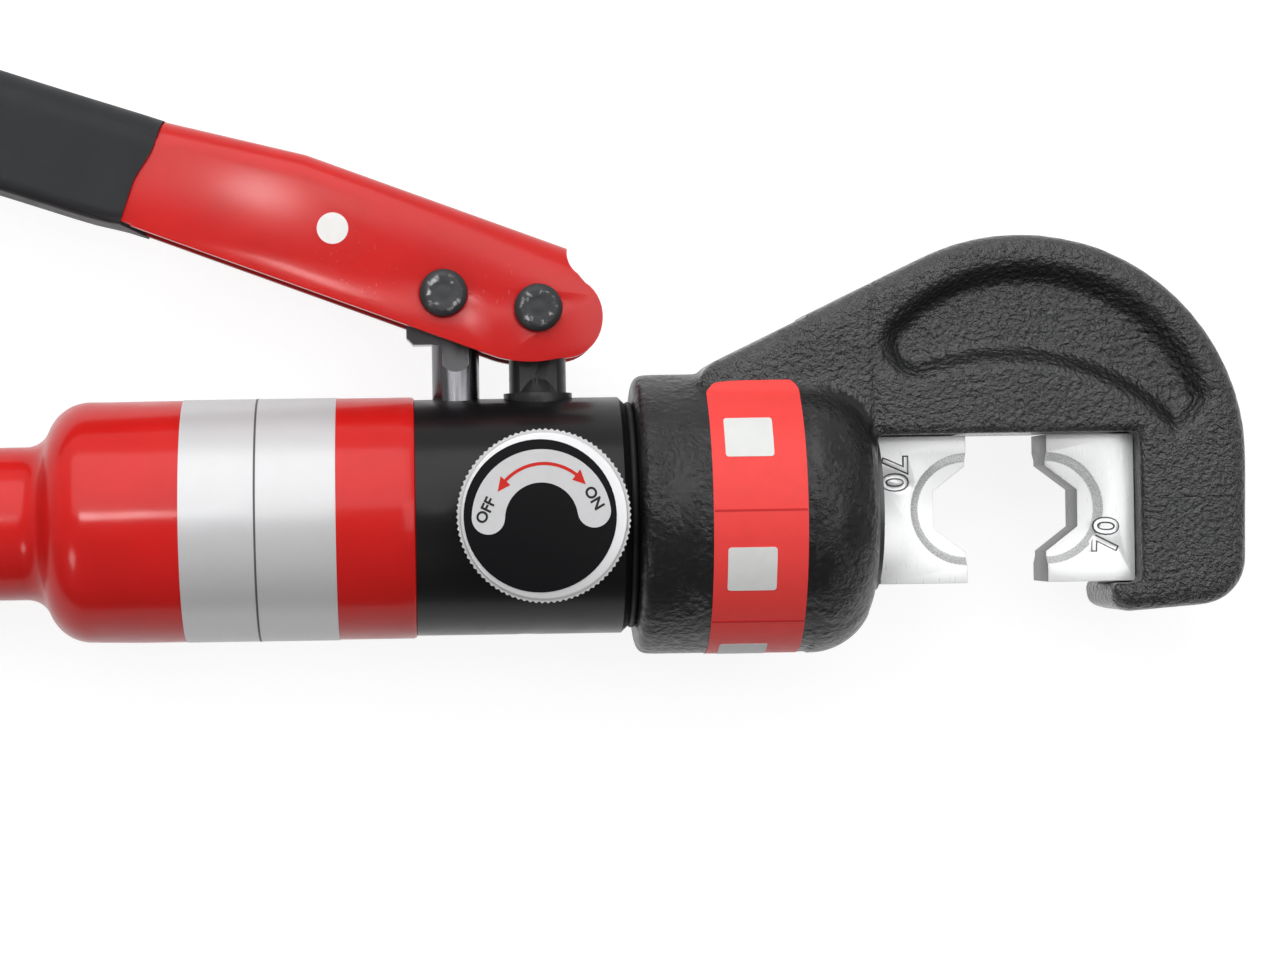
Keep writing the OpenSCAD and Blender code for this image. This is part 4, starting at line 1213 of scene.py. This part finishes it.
@dataclass
class ReturnSpring(Assembly):
    """The spring in the ram."""

    node: str = "return_spring"

    def build(self) -> None:
        """Makes the spring on no body, with its place baked into its mesh."""
        rear, front = (Vector((corner.x, 0.0, 0.0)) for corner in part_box(self.node))
        spring = self.bench.piece(
            self.bench.copy(self.node), "coiled_spring", None, Slot.SPRING_STEEL, [SPRING_WIRE], [self.node])
        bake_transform(spring)


@dataclass
class CollarLabel(Assembly):
    """The bare red label that is pressed on the collar, with its blank pale panels."""

    radius: float = 26.5
    back: float = -64.4  # X of its rear edge
    front: float = -47.1  # X of its front edge
    start: float = -100.0  # angle of its lower end, from +Z towards +Y, in degrees
    end: float = 61.0  # angle of its upper end
    corner: float = 2.0  # radius of its corners
    film: float = 0.12  # thickness of the film
    paste: float = 0.02  # height of the label's lower face above the collar
    mesh: float = 0.8  # spacing of the cuts that let the film bend
    # Blank panels, as middle X, middle angle, length and width
    panels: tuple[tuple[float, float, float, float], ...] = (
        (-57.4, 31.8, 8.9, 8.4),
        (-57.3, -23.0, 9.0, 8.6),
        (-57.8, -76.0, 9.0, 8.6),
    )
    panel_corner: float = 0.6
    seams: tuple[float, ...] = (1.0, -49.0)  # angles of the thin seams
    seam_width: float = 0.35
    seam_corner: float = 0.1
    seam_inset: float = 0.4  # how much shorter than the label a seam is

    def wrap(self, middle: Point2, length: float, width: float, corner: float, lift: float) -> Shape:
        """Makes a rounded rectangle of film and wraps it on the collar.

        Args:
            middle: X of its middle, and its angle in degrees.
            length: Size along X.
            width: Size round the collar.
            corner: Radius of its corners.
            lift: Height of its lower face above the head's surface.

        Returns:
            The wrapped film, in metres.
        """
        shape = bmesh.new()
        bmesh.ops.create_grid(shape, x_segments=1, y_segments=1, size=0.5)
        bmesh.ops.scale(shape, verts=shape.verts, vec=Vector((length, width, 1.0)))
        round_off(shape, list(shape.verts), corner, segments=6, affect="VERTICES")
        for size, way in ((length, ALONG), (width, ACROSS)):
            steps = max(2, round(size / self.mesh))
            slice_through(shape, way * size * -0.5, way, size / steps, steps, near=1e-4)
        skin = bpy.data.objects["forged_head"]
        for spot in shape.verts:
            turn = math.radians(middle[1]) + spot.co.y / self.radius
            outward = Vector((0.0, math.sin(turn), math.cos(turn)))
            axis = Vector(((middle[0] + spot.co.x) * MM, 0.0, 0.0))
            found = skin.ray_cast(axis + outward * 2.0 * self.radius * MM, -outward)[1]
            spot.co = found + outward * lift * MM
        shape.normal_update()
        bmesh.ops.solidify(shape, geom=shape.faces[:], thickness=-self.film * MM)
        bmesh.ops.recalc_face_normals(shape, faces=shape.faces)
        return shape

    def build(self) -> None:
        """Makes the label, its panels and its seams."""
        bpy.context.view_layer.update()
        middle = ((self.back + self.front) / 2, (self.start + self.end) / 2)
        length = self.front - self.back
        around = math.radians(self.end - self.start) * self.radius
        label = self.wrap(middle, length, around, self.corner, self.paste)
        self.bench.piece(label, "collar_label", Body.HEAD, Slot.CAST_BLACK, [LABEL_RED])
        for number, (x, turn, long, wide) in enumerate(self.panels, start=1):
            panel = self.wrap((x, turn), long, wide, self.panel_corner, self.film)
            self.bench.piece(panel, f"label_panel_{number}", Body.HEAD, Slot.CAST_BLACK, [LABEL_PALE])
        for number, turn in enumerate(self.seams, start=1):
            long = length - self.seam_inset
            seam = self.wrap((middle[0], turn), long, self.seam_width, self.seam_corner, self.film)
            self.bench.piece(seam, f"label_seam_{number}", Body.HEAD, Slot.CAST_BLACK, [LABEL_SEAM])


@dataclass
class DieSet(Assembly):
    """The two plated dies with their stamped size."""

    face_z: float = 7.5  # height of the dies' upper face
    gap: float = 15.2  # opening between the dies
    edge: float = 0.25  # width of the rounding on their edges
    size: str = "70"  # the size in square millimetres that is stamped on them
    # Each die's node and body, and its figures' height, middle and turn in degrees
    figures: tuple[tuple[str, Body, float, Point2, float], ...] = (
        ("fixed_die", Body.HEAD, 5.3, (10.9, -5.1), 87.0),
        ("moving_die", Body.RAM, 5.4, (-28.6, 6.9), -90.0),
    )
    slope: float = 0.04  # width of the stamp's sloped sides, as a share of the font's size
    depth: float = 0.35
    upright: float = 0.3  # Z of the normal below which a face is a wall
    flat: float = 0.9  # Z of the normal above which a face of the stamp is its floor
    lip: float = 0.3  # how far the end face reaches from the die's front
    nest: float = 6.5  # how far the walls of the nest reach from the die's front
    nest_radius: float = 9.0  # radius that holds these walls
    flare: Point2 = (8.9, 10.8)  # inner and outer radius of the flare round the nest
    skim: float = 0.02  # how far the flare lies below the upper face

    def build(self) -> None:
        """Makes both dies, and greys the ram behind the moving one."""
        self.bench.dress("ram", MILLED_GREY)
        for node, body, cap, spot, turn in self.figures:
            self.stamp(node, body, cap, turned_place((*spot, self.face_z), turn))

    def finish_of(self, face: bmesh.types.BMFace, body: Body) -> int:
        """Tells which finish a face has.

        Args:
            face: A face of a die.
            body: The body that the die rides on.

        Returns:
            0 for a plain face, 1 for a wall or an end face, which is painted dark as shade, 2 for the flare.
        """
        x, y, z = face.calc_center_median() / MM
        inward = x if body is Body.HEAD else -x - self.gap
        away = math.hypot(inward, y)
        in_nest = inward < self.nest and away < self.nest_radius
        # Upright walls of the nest and the end faces get the dark finish, which is painted shade
        if abs(face.normal.z) < self.upright and (inward < self.lip or in_nest):
            return 1
        flared = self.flare[0] < away < self.flare[1] and abs(z) < self.face_z - self.skim
        return 2 if flared and inward > self.lip else 0

    def stamp(self, node: str, body: Body, cap: float, place: Matrix) -> None:
        """Makes one die with its figures pressed in.

        Args:
            node: The die's node.
            body: The body that it rides on.
            cap: Height of the figures.
            place: Where the figures go.
        """
        shape = self.bench.copy(node)
        soften(shape, self.edge)
        shape.normal_update()
        for face in shape.faces:
            face.material_index = self.finish_of(face, body)
        finishes = [DIE_PLATE, DIE_WALL_SHADE, DIE_FLARE]
        die = self.bench.block(shape, finishes)
        figures = lettering(self.size, cap, 2 * self.depth, place, slope=self.slope)
        figures.normal_update()
        # The figures' sloped sides get the near-black finish as painted shade; their floors keep the plate's
        # colour
        for face in figures.faces:
            face.material_index = int(abs(face.normal.z) < self.flat)
        punch = self.bench.block(figures, [DIE_PLATE, DIE_MARK_SHADE])
        cut = die.modifiers.new("stamp", "BOOLEAN")
        cut.operation = "DIFFERENCE"
        cut.solver = "EXACT"
        cut.material_mode = "TRANSFER"
        cut.object = punch
        stamped = settled(die)
        discard(punch)
        self.bench.piece(stamped, f"{node}_plated", body, Slot.DIE_STEEL, finishes + [DIE_MARK_SHADE], [node])


@dataclass
class PumpLever(Assembly):
    """The pump lever with its dipped sleeve, its pins and its bare dot."""

    sleeve_top: Point2 = (-165.15, 74.58)  # front end of the channel's back under the sleeve, in X and Y
    lean: float = 18.2  # angle of the grip run above -X, in degrees
    depth: float = 20.0  # depth of the channel under the sleeve
    slant: float = 1.7  # how far the sleeve's front edge lies back on the lower half
    slant_depths: Point2 = (4.0, 13.0)  # depths between which it runs back
    far_lap: float = 2.6  # how far the sleeve's far side runs on to the front
    far_width: float = 8.0  # width over which it does
    thin_run: float = 10.0  # length over which the dip thins out at the front
    thin_power: float = 1.5  # how fast it does
    thin: float = 0.75  # how much thinner it is there
    dip: float = 1.0  # thickness of the sleeve's wall
    skin: float = 0.5  # distance from the channel beyond which a corner is on the sleeve's outside
    sag: float = 0.07  # height of the sleeve's unevenness
    sag_size: float = 14.0  # length of its waves
    rings: float = 4.0  # spacing of the cuts along the sleeve that let it be uneven
    levels: float = 1.5  # spacing of the cuts across it
    fulcrum: Point2 = (-95.2, 39.0)  # axis of the lever in X and Y
    front_lean: float = 20.6  # angle of the front part above -X, in degrees
    crown: float = 0.9  # how far the back of the front part swells
    crown_start: float = -2.0  # height above the fulcrum where the swelling starts
    crown_run: float = 12.0  # height over which it grows
    crown_lap: float = 0.4  # how far it runs on under the sleeve
    knee: Point2 = (-99.05, 28.38)  # corner of the lower edge behind the nose, in X and Y
    knee_reach: float = 1.0  # distance within which an edge is on that corner
    knee_round: float = 5.0  # length of its rounding
    edge: float = 0.5  # width of the rounding on the channel's edges
    pin_edge: float = 0.35  # width of the rounding on the pins
    # Insets of the pins' heads, each an inset and a rise
    pin_rings: tuple[Point2, ...] = ((1.3, -0.1), (0.5, -0.06), (0.6, 0.1))
    dot_spot: Point2 = (-133.5, 54.5)
    dot_radius: float = 2.95
    dot_film: float = 0.1
    cheek_z: float = 9.25  # height of the lever's upper cheek

    def build(self) -> None:
        """Makes the lever's pieces."""
        self.channel()
        self.sleeve()
        for node in ("fulcrum_pin", "plunger_pin"):
            self.pin(node)
        dot = disc(self.dot_spot, self.dot_radius, self.cheek_z, self.dot_film, steps=48)
        self.bench.piece(dot, "lever_dot", Body.LEVER, Slot.RED_PAINT, [DOT_WHITE])

    def grip_line(self) -> tuple[Vector, Vector]:
        """Gives the start of the sleeve, in metres, and the way back along the grip."""
        lean = math.radians(self.lean)
        return Vector((*self.sleeve_top, 0.0)) * MM, Vector((-math.cos(lean), math.sin(lean), 0.0))

    def on_knee(self, edge: bmesh.types.BMEdge) -> bool:
        """Tells whether an edge of the channel is an upright one at the knee.

        Args:
            edge: The edge.

        Returns:
            Whether it is.
        """
        one, other = (corner.co for corner in edge.verts)
        away = (one + other).xy / 2 - Vector(self.knee) * MM
        return (one - other).xy.length < CLOSE and away.length < self.knee_reach * MM

    def channel(self) -> None:
        """Makes the pressed channel with its swollen back and its rounded knee."""
        node = "lever_channel"
        shape = self.bench.copy(node)
        join_facets(shape)
        knee = [edge for edge in shape.edges if self.on_knee(edge)]
        round_off(shape, knee, self.knee_round * MM, segments=8)
        soften(shape, self.edge)
        lean = math.radians(self.front_lean)
        upward = Vector((math.sin(lean), math.cos(lean), 0.0))
        middle = Vector((*self.fulcrum, 0.0)) * MM
        start, back = self.grip_line()
        for corner in shape.verts:
            if (corner.co - start).dot(back) < self.crown_lap * MM:
                height = (corner.co - middle).dot(upward) / MM
                swell = self.crown * smooth_step((height - self.crown_start) / self.crown_run)
                corner.co += upward * swell * MM
        self.bench.piece(shape, "pressed_lever", Body.LEVER, Slot.RED_PAINT, [LEVER_ENAMEL], [node])

    def sleeve(self) -> None:
        """Makes the sleeve with its curved front edge and uneven dip."""
        shape = self.bench.copy("lever_grip")
        start, back = self.grip_line()
        down = Vector((-back.y, back.x, 0.0))
        reach = max((corner.co - start).dot(back) for corner in shape.verts) / MM
        join_facets(shape)
        slice_through(shape, start, back, self.rings * MM, int(reach / self.rings), near=1e-7)
        slice_through(shape, start, down, self.levels * MM, int(self.depth / self.levels), near=1e-7)
        shape.normal_update()
        for corner in shape.verts:
            along = (corner.co - start).dot(back) / MM
            depth = (corner.co - start).dot(down) / MM
            side = corner.co.z / MM
            corner.co += corner.normal * wander(corner.co, self.sag_size) * self.sag * MM
            if max(abs(side) - self.cheek_z, -depth, depth - self.depth) > self.skin:
                thinning = self.thin * max(0.0, 1.0 - along / self.thin_run) ** self.thin_power
                shrink = thinning / (self.depth / 2 + self.dip)
                corner.co += down * min(0.0, self.depth / 2 - depth) * shrink * MM
                corner.co.z -= side * shrink * MM
            if along < 0.5 * self.rings:
                high, low = self.slant_depths
                lower = smooth_step((depth - high) / (low - high))
                far = smooth_step(0.5 - side / self.far_width)
                corner.co += back * (self.slant * lower * (1.0 - far) - self.far_lap * far) * MM
        self.bench.piece(shape, "dipped_sleeve", Body.LEVER, Slot.GRIP_BLACK, [VINYL], ["lever_grip"])

    def pin(self, node: str) -> None:
        """Makes a pin with a pressed ring in its head.

        Args:
            node: The pin's node.
        """
        shape = self.bench.copy(node)
        soften(shape, self.pin_edge)
        top = max(shape.faces, key=lambda face: (round(face.calc_center_median().z, 6), face.calc_area()))
        for inward, rise in self.pin_rings:
            bmesh.ops.inset_region(
                shape, faces=[top], thickness=inward * MM, depth=rise * MM, use_even_offset=True)
        self.bench.piece(shape, f"{node}_scuffed", Body.LEVER, Slot.PIN_DARK, [PIN_OXIDE], [node])


@dataclass
class PumpBlock(Assembly):
    """The pump body, the fulcrum post and the plunger."""

    eye_low: float = 34.0  # Y below which the plunger is chromed
    body_edge: float = 0.5  # width of the rounding on the body's edges
    part_edge: float = 0.35  # width of the rounding on the post and the plunger

    def build(self) -> None:
        """Makes the block's pieces."""
        self.bench.softened("pump_body", "painted_body", Body.PUMP, BLACK_ENAMEL, self.body_edge)
        self.bench.softened("fulcrum_post", "black_post", Body.PUMP, POST_BLACK, self.part_edge)
        shape = self.bench.copy("plunger")
        soften(shape, self.part_edge)
        for face in shape.faces:
            face.material_index = int(face.calc_center_median().y > self.eye_low * MM)
        finishes = [CHROME, MILLED_GREY]
        self.bench.piece(shape, "chromed_plunger", Body.PLUNGER, Slot.BRIGHT_STEEL, finishes, ["plunger"])


@dataclass
class ReleaseKnob(Assembly):
    """The knurled release knob and its printed face."""

    middle: Point2 = (-95.6, 0.0)  # axis of the knob in X and Y
    top: float = 33.5  # height of the knob's face
    edge: float = 0.35  # width of the rounding on its rim
    rim: float = 0.1  # height of the rim, whose edges are rounded
    side: float = 0.3  # Z of the normal below which a face is on the knurled side
    face_radius: float = 13.8
    face_shift: float = -0.7  # how far the face sits off the knob's axis, in X
    face_edge: float = 0.05  # width of the rounding on the face
    film: float = 0.15  # thickness of the face
    ink: float = 0.03  # thickness of a print
    kidney_shift: Point2 = (-0.45, -0.6)  # how far the silver kidney sits off the knob's axis, in X and Y
    kidney_turns: Point2 = (8.0, 178.0)  # angles where the kidney ends, in degrees
    kidney_radius: float = 9.6  # its mean radius
    kidney_half: float = 3.0  # half its width
    arrow_radius: float = 9.4
    arrow_start: float = 36.0  # angle of the arrow's tip by ON, in degrees
    arrow_end: float = 152.0  # angle of the arrow's tip by OFF
    arrow_half: float = 0.3  # half the thickness of its line
    head_long: float = 2.5  # length of an arrow head
    head_half: float = 1.2  # half the width of an arrow head
    # What is printed, each with its radius, its angle and its lean in degrees
    words: tuple[tuple[str, float, float, float], ...] = (
        ("OFF", 10.6, 174.0, 63.0),
        ("ON", 9.6, 19.0, -60.0),
    )
    cap: float = 2.1
    bold: float = 0.03  # how far the strokes are widened, as a share of the font's size

    def build(self) -> None:
        """Makes the knob, its face and its prints."""
        knob = self.bench.copy("release_knob")
        soften(knob, self.edge, above=self.top - self.rim)
        knob.normal_update()
        for face in knob.faces:
            face.material_index = int(face.normal.z < self.side)
        finishes = [KNOB_RING, KNOB_KNURL]
        self.bench.piece(knob, "turned_knob", Body.RELEASE, Slot.KNOB_ALUMINIUM, finishes, ["release_knob"])
        centre = (self.middle[0] + self.face_shift, self.middle[1])
        face = disc(centre, self.face_radius, self.top, self.film, steps=72)
        soften(face, self.face_edge)
        self.printed(face, "knob_face", FACE_BLACK)
        level = self.top + self.film
        kidney = outline_plate(self.kidney(), level, self.ink)
        self.printed(kidney, "knob_kidney", FACE_SILVER)
        level += self.ink
        arrow = outline_plate(self.arrow(), level, self.ink)
        self.printed(arrow, "knob_arrow", FACE_RED)
        for word, radius, turn, lean in self.words:
            place = turned_place((*polar(self.middle, radius, turn), level + self.ink / 2), lean)
            letters = lettering(word, self.cap, self.ink, place, self.bold)
            self.printed(letters, f"knob_{word.lower()}", FACE_INK)

    def printed(self, shape: Shape, name: str, finish: Finish) -> None:
        """Puts a print on the knob's body."""
        self.bench.piece(shape, name, Body.RELEASE, Slot.KNOB_ALUMINIUM, [finish])

    def kidney(self) -> list[Point2]:
        """Gives the outline of the kidney, an arc with round ends.

        Returns:
            The outline's points.
        """
        centre = (self.middle[0] + self.kidney_shift[0], self.middle[1] + self.kidney_shift[1])
        start, end = self.kidney_turns
        left = polar(centre, self.kidney_radius, end)
        right = polar(centre, self.kidney_radius, start)
        outer = arc(centre, self.kidney_radius + self.kidney_half, start, end, steps=40)
        inner = arc(centre, self.kidney_radius - self.kidney_half, end, start, steps=40)
        left_cap = arc(left, self.kidney_half, end, end + 180.0, steps=14)
        right_cap = arc(right, self.kidney_half, start + 180.0, start + 360.0, steps=14)
        return outer[:-1] + left_cap[:-1] + inner[:-1] + right_cap[:-1]

    def arrow(self) -> list[Point2]:
        """Gives the outline of the curved arrow with a head at each end.

        Returns:
            The outline's points.
        """
        away = math.degrees(self.head_long / self.arrow_radius)
        start, end = self.arrow_start + away, self.arrow_end - away
        high, low = self.arrow_radius + self.head_half, self.arrow_radius - self.head_half
        left = ((high, end), (self.arrow_radius, self.arrow_end), (low, end))
        right = ((low, start), (self.arrow_radius, self.arrow_start), (high, start))
        left_head, right_head = ([polar(self.middle, *spot) for spot in head] for head in (left, right))
        outer = arc(self.middle, self.arrow_radius + self.arrow_half, start, end, steps=30)
        inner = arc(self.middle, self.arrow_radius - self.arrow_half, end, start, steps=30)
        return outer + left_head + inner + right_head


@dataclass
class OilReservoir(Assembly):
    """The red reservoir with its shoulder, its bare foil band and its neck."""

    mouth: float = -118.7  # X of the open end
    rim: float = 0.6  # width and height of the rounding at the mouth
    rim_middle: Point2 = (0.2, 0.18)  # place on that rounding, back from the mouth and in from the barrel
    barrel_end: float = -180.0  # X where the shoulder starts
    barrel_rows: int = 16  # number of rows along the barrel, so that it can be dented
    neck_end: float = -203.5  # X of the end of the neck
    barrel_radius: float = 22.9
    neck_radius: float = 14.5
    shoulder: float = 8.5  # convex radius of the shoulder
    throat: float = 5.0  # concave radius into the neck
    wall: float = 2.8  # thickness of the wall
    neck_bore: float = 0.6  # radius inside the neck, as a share of its radius
    bore_taper: float = 4.0  # length over which the bore narrows to the neck
    dents: float = 0.28  # depth of the dents by the shoulder
    dent_reach: float = 24.0  # how far they reach from the shoulder
    dent_sizes: Point2 = (17.0, 8.0)  # lengths of the large and the small dents
    small_share: float = 0.4  # depth of the small dents, as a share of the large ones
    foil_back: float = -162.3
    foil_front: float = -133.4
    foil_line: float = -148.3  # X of the thin line round the foil
    foil: float = 0.1  # thickness of the foil
    paste: float = 0.02  # height of the foil's lower face above the barrel
    line_half: float = 0.2  # half the width of the line
    ink: float = 0.03  # thickness of the line

    def build(self) -> None:
        """Makes the reservoir and its foil."""
        shape = turned_ring(self.section(), steps=160)
        shape.normal_update()
        large, small = self.dent_sizes
        for corner in shape.verts:
            near = max(0.0, 1.0 - abs(corner.co.x / MM - self.barrel_end) / self.dent_reach)
            wave = wander(corner.co, large) + self.small_share * wander(corner.co, small)
            corner.co += corner.normal * wave * self.dents * near * MM
        self.bench.piece(shape, "red_reservoir", Body.PUMP, Slot.RED_PAINT, [RED_ENAMEL], ["reservoir"])
        low = self.barrel_radius + self.paste
        high = low + self.foil
        band = self.band(self.foil_back, self.foil_front, low, high)
        self.bench.piece(band, "foil_band", Body.PUMP, Slot.RED_PAINT, [FOIL])
        back, front = self.foil_line - self.line_half, self.foil_line + self.line_half
        line = self.band(back, front, high, high + self.ink)
        self.bench.piece(line, "foil_line", Body.PUMP, Slot.RED_PAINT, [FOIL_LINE])

    def band(self, back: float, front: float, low: float, high: float) -> Shape:
        """Makes a flat ring between two places along X and two radii."""
        return turned_ring([(back, low), (front, low), (front, high), (back, high)])

    def section(self) -> list[Point2]:
        """Gives the wall's section, as place along X and radius.

        Returns:
            The section's points.
        """
        drop = self.barrel_radius - self.neck_radius
        both = self.shoulder + self.throat
        turn = math.degrees(math.acos(1.0 - drop / both))
        neck_x = self.barrel_end - both * math.sin(math.radians(turn))
        hub = (self.barrel_end, self.barrel_radius - self.shoulder)
        convex = arc(hub, self.shoulder, 90.0, 90.0 + turn, steps=12)
        concave = arc((neck_x, self.neck_radius + self.throat), self.throat, turn - 90.0, -90.0, steps=8)
        start = self.mouth - self.rim
        length = start - self.barrel_end
        rows = range(self.barrel_rows)
        barrel = [(start - length * row / self.barrel_rows, self.barrel_radius) for row in rows]
        back, inward = self.rim_middle
        rim = [(self.mouth, self.barrel_radius - self.rim), (self.mouth - back, self.barrel_radius - inward)]
        narrow = self.neck_bore * self.neck_radius
        bore = self.barrel_radius - self.wall
        neck = [(self.neck_end, self.neck_radius), (self.neck_end, narrow)]
        inside = [(self.barrel_end, narrow), (self.barrel_end + self.bore_taper, bore), (self.mouth, bore)]
        return rim + barrel + convex + concave[1:] + neck + inside


@dataclass
class Lamp:
    """An area lamp of the studio."""

    name: str
    place: Point3  # where it stands, in metres
    aim: Point3  # the point that it faces, in metres
    size: Point2  # its width and height, in metres
    watts: float  # its power
    spread: float = 180.0  # width of its beam, in degrees

    def build(self) -> None:
        """Adds the lamp to the scene."""
        light = bpy.data.lights.new(self.name, "AREA")
        light.shape = "RECTANGLE"
        light.size, light.size_y = self.size
        light.energy = self.watts
        light.spread = math.radians(self.spread)
        holder = linked(self.name, light)
        ahead = Vector(self.aim) - Vector(self.place)
        holder.location = self.place
        holder.rotation_euler = ahead.to_track_quat("-Z", "Y").to_euler()


@dataclass
class Studio:
    """The camera, the floor, the lamps and the world."""

    eye: Point3 = (-0.1179, -0.0005, 0.627)  # place of the camera, in metres
    aim: Point3 = (-0.1125, 0.0071, 0.0)  # the point that the lens faces, in metres
    shift: float = 0.15  # sideways shift of the lens, in sensor widths
    roll: float = -0.876  # turn of the camera about its view, in degrees
    focal: float = 92.8  # focal length
    sensor: float = 36.0  # width of the sensor
    nearest: float = 0.01  # distance from which the camera sees, in metres
    floor_half: float = 4.0  # half the side of the floor, in metres
    floor_gap: float = 0.0002  # how far the floor lies below the object, in metres
    floor_tone: float = 0.26  # how much lamp light the floor gives back
    floor_glow: float = 0.86  # the floor's own light, which makes it white
    floor_rough: float = 0.9
    far_sky: float = 0.75  # strength of the world low down on the lever's side
    near_sky: float = 0.15  # strength of the world low down on the other side
    sky_turn: Point2 = (-0.5, 0.5)  # Y of the directions between which these change over
    zenith: float = 0.22  # strength of the world overhead
    sky_rise: Point2 = (0.3, 0.95)  # Z of the directions between which the world changes to it
    lamps: tuple[Lamp, ...] = (
        Lamp("key_softbox", (-0.2, 0.47, 0.58), (-0.15, 0.0, 0.0), (0.75, 0.85), 4.2),
        Lamp("jaw_softbox", (0.31, 0.05, 0.72), (0.05, 0.0, 0.0), (0.35, 0.5), 1.3),
        Lamp("corner_spot", (-0.5, -0.38, 0.5), (-0.1, 0.0, 0.0), (0.15, 0.15), 0.5),
        Lamp("lever_spot", (-0.25, 0.15, 0.8), (-0.16, 0.07, 0.009), (0.2, 0.12), 0.0066, 8.0),
    )

    def build(self, lowest: float) -> None:
        """Sets the studio up.

        Args:
            lowest: Height of the object's lowest point, in metres.
        """
        bpy.context.scene.view_settings.view_transform = "Standard"
        self.camera()
        self.floor(lowest)
        for lamp in self.lamps:
            lamp.build()
        self.sky()

    def sky(self) -> None:
        """Sets a world that is brightest low down on the lever's side."""
        world = bpy.data.worlds.new("studio_sky")
        world.use_nodes = True
        sheet = NodeSheet(world.node_tree)
        direction = sheet.node("ShaderNodeTexCoord").outputs["Generated"]
        parts = sheet.node("ShaderNodeSeparateXYZ", {0: direction}).outputs
        low = sheet.remap(parts["Y"], self.sky_turn, (self.near_sky, self.far_sky))
        level = sheet.remap(parts["Z"], self.sky_rise, (low, self.zenith))
        background = world.node_tree.nodes["Background"].inputs
        sheet.feed(background["Color"], WHITE)
        sheet.feed(background["Strength"], level)
        bpy.context.scene.world = world

    def camera(self) -> None:
        """Adds the camera at the photograph's angle."""
        lens = bpy.data.cameras.new("camera")
        lens.sensor_width = self.sensor
        lens.lens = self.focal
        lens.shift_x = self.shift
        lens.clip_start = self.nearest
        holder = linked("camera", lens)
        ahead = (Vector(self.aim) - Vector(self.eye)).normalized()
        right = ahead.cross(ACROSS).normalized()
        upward = right.cross(ahead)
        look = Matrix((right, upward, -ahead)).transposed().to_4x4()
        turn = Matrix.Rotation(math.radians(self.roll), 4, "Z")
        holder.matrix_world = Matrix.Translation(Vector(self.eye)) @ look @ turn
        bpy.context.scene.camera = holder

    def floor(self, lowest: float) -> None:
        """Adds the pale floor, which keeps the object's shadow.

        Args:
            lowest: Height of the object's lowest point, in metres.
        """
        shape = bmesh.new()
        bmesh.ops.create_grid(shape, x_segments=1, y_segments=1, size=self.floor_half)
        bmesh.ops.translate(shape, verts=shape.verts, vec=Vector((0.0, 0.0, lowest - self.floor_gap)))
        meshed(shape, "floor", [self.floor_material()])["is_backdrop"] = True

    def floor_material(self) -> bpy.types.Material:
        """Gives the floor's material, which is white to the eye and in reflections.

        Returns:
            The material.
        """
        sheet = ShaderSheet("studio_floor")
        path = sheet.node("ShaderNodeLightPath").outputs
        seen = path["Is Camera Ray"]
        for kind in ("Is Glossy Ray", "Is Transmission Ray"):
            seen = sheet.greater(seen, path[kind])
        sheet.surface_set({
            "Base Color": (self.floor_tone, self.floor_tone, self.floor_tone, 1.0),
            "Roughness": self.floor_rough,
            "Specular IOR Level": 0.0,
            "Emission Color": WHITE,
            "Emission Strength": sheet.remap(seen, RISING, (0.0, self.floor_glow)),
        })
        return sheet.material


def main() -> None:
    """Builds the tool's looks around the frame."""
    logging.basicConfig(level=logging.INFO, format="%(name)s: %(message)s")
    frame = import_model()
    solid_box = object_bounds()
    Studio().build(solid_box[0][2])
    bench = Bench(frame)
    bench.dress_all()
    assemblies = (
        ForgedHead, ReturnSpring, CollarLabel, DieSet, PumpBlock, ReleaseKnob, PumpLever, OilReservoir)
    for assembly in assemblies:
        LOG.info("building %s", assembly.__name__)
        assembly(bench).build()


if __name__ == "__main__":
    main()
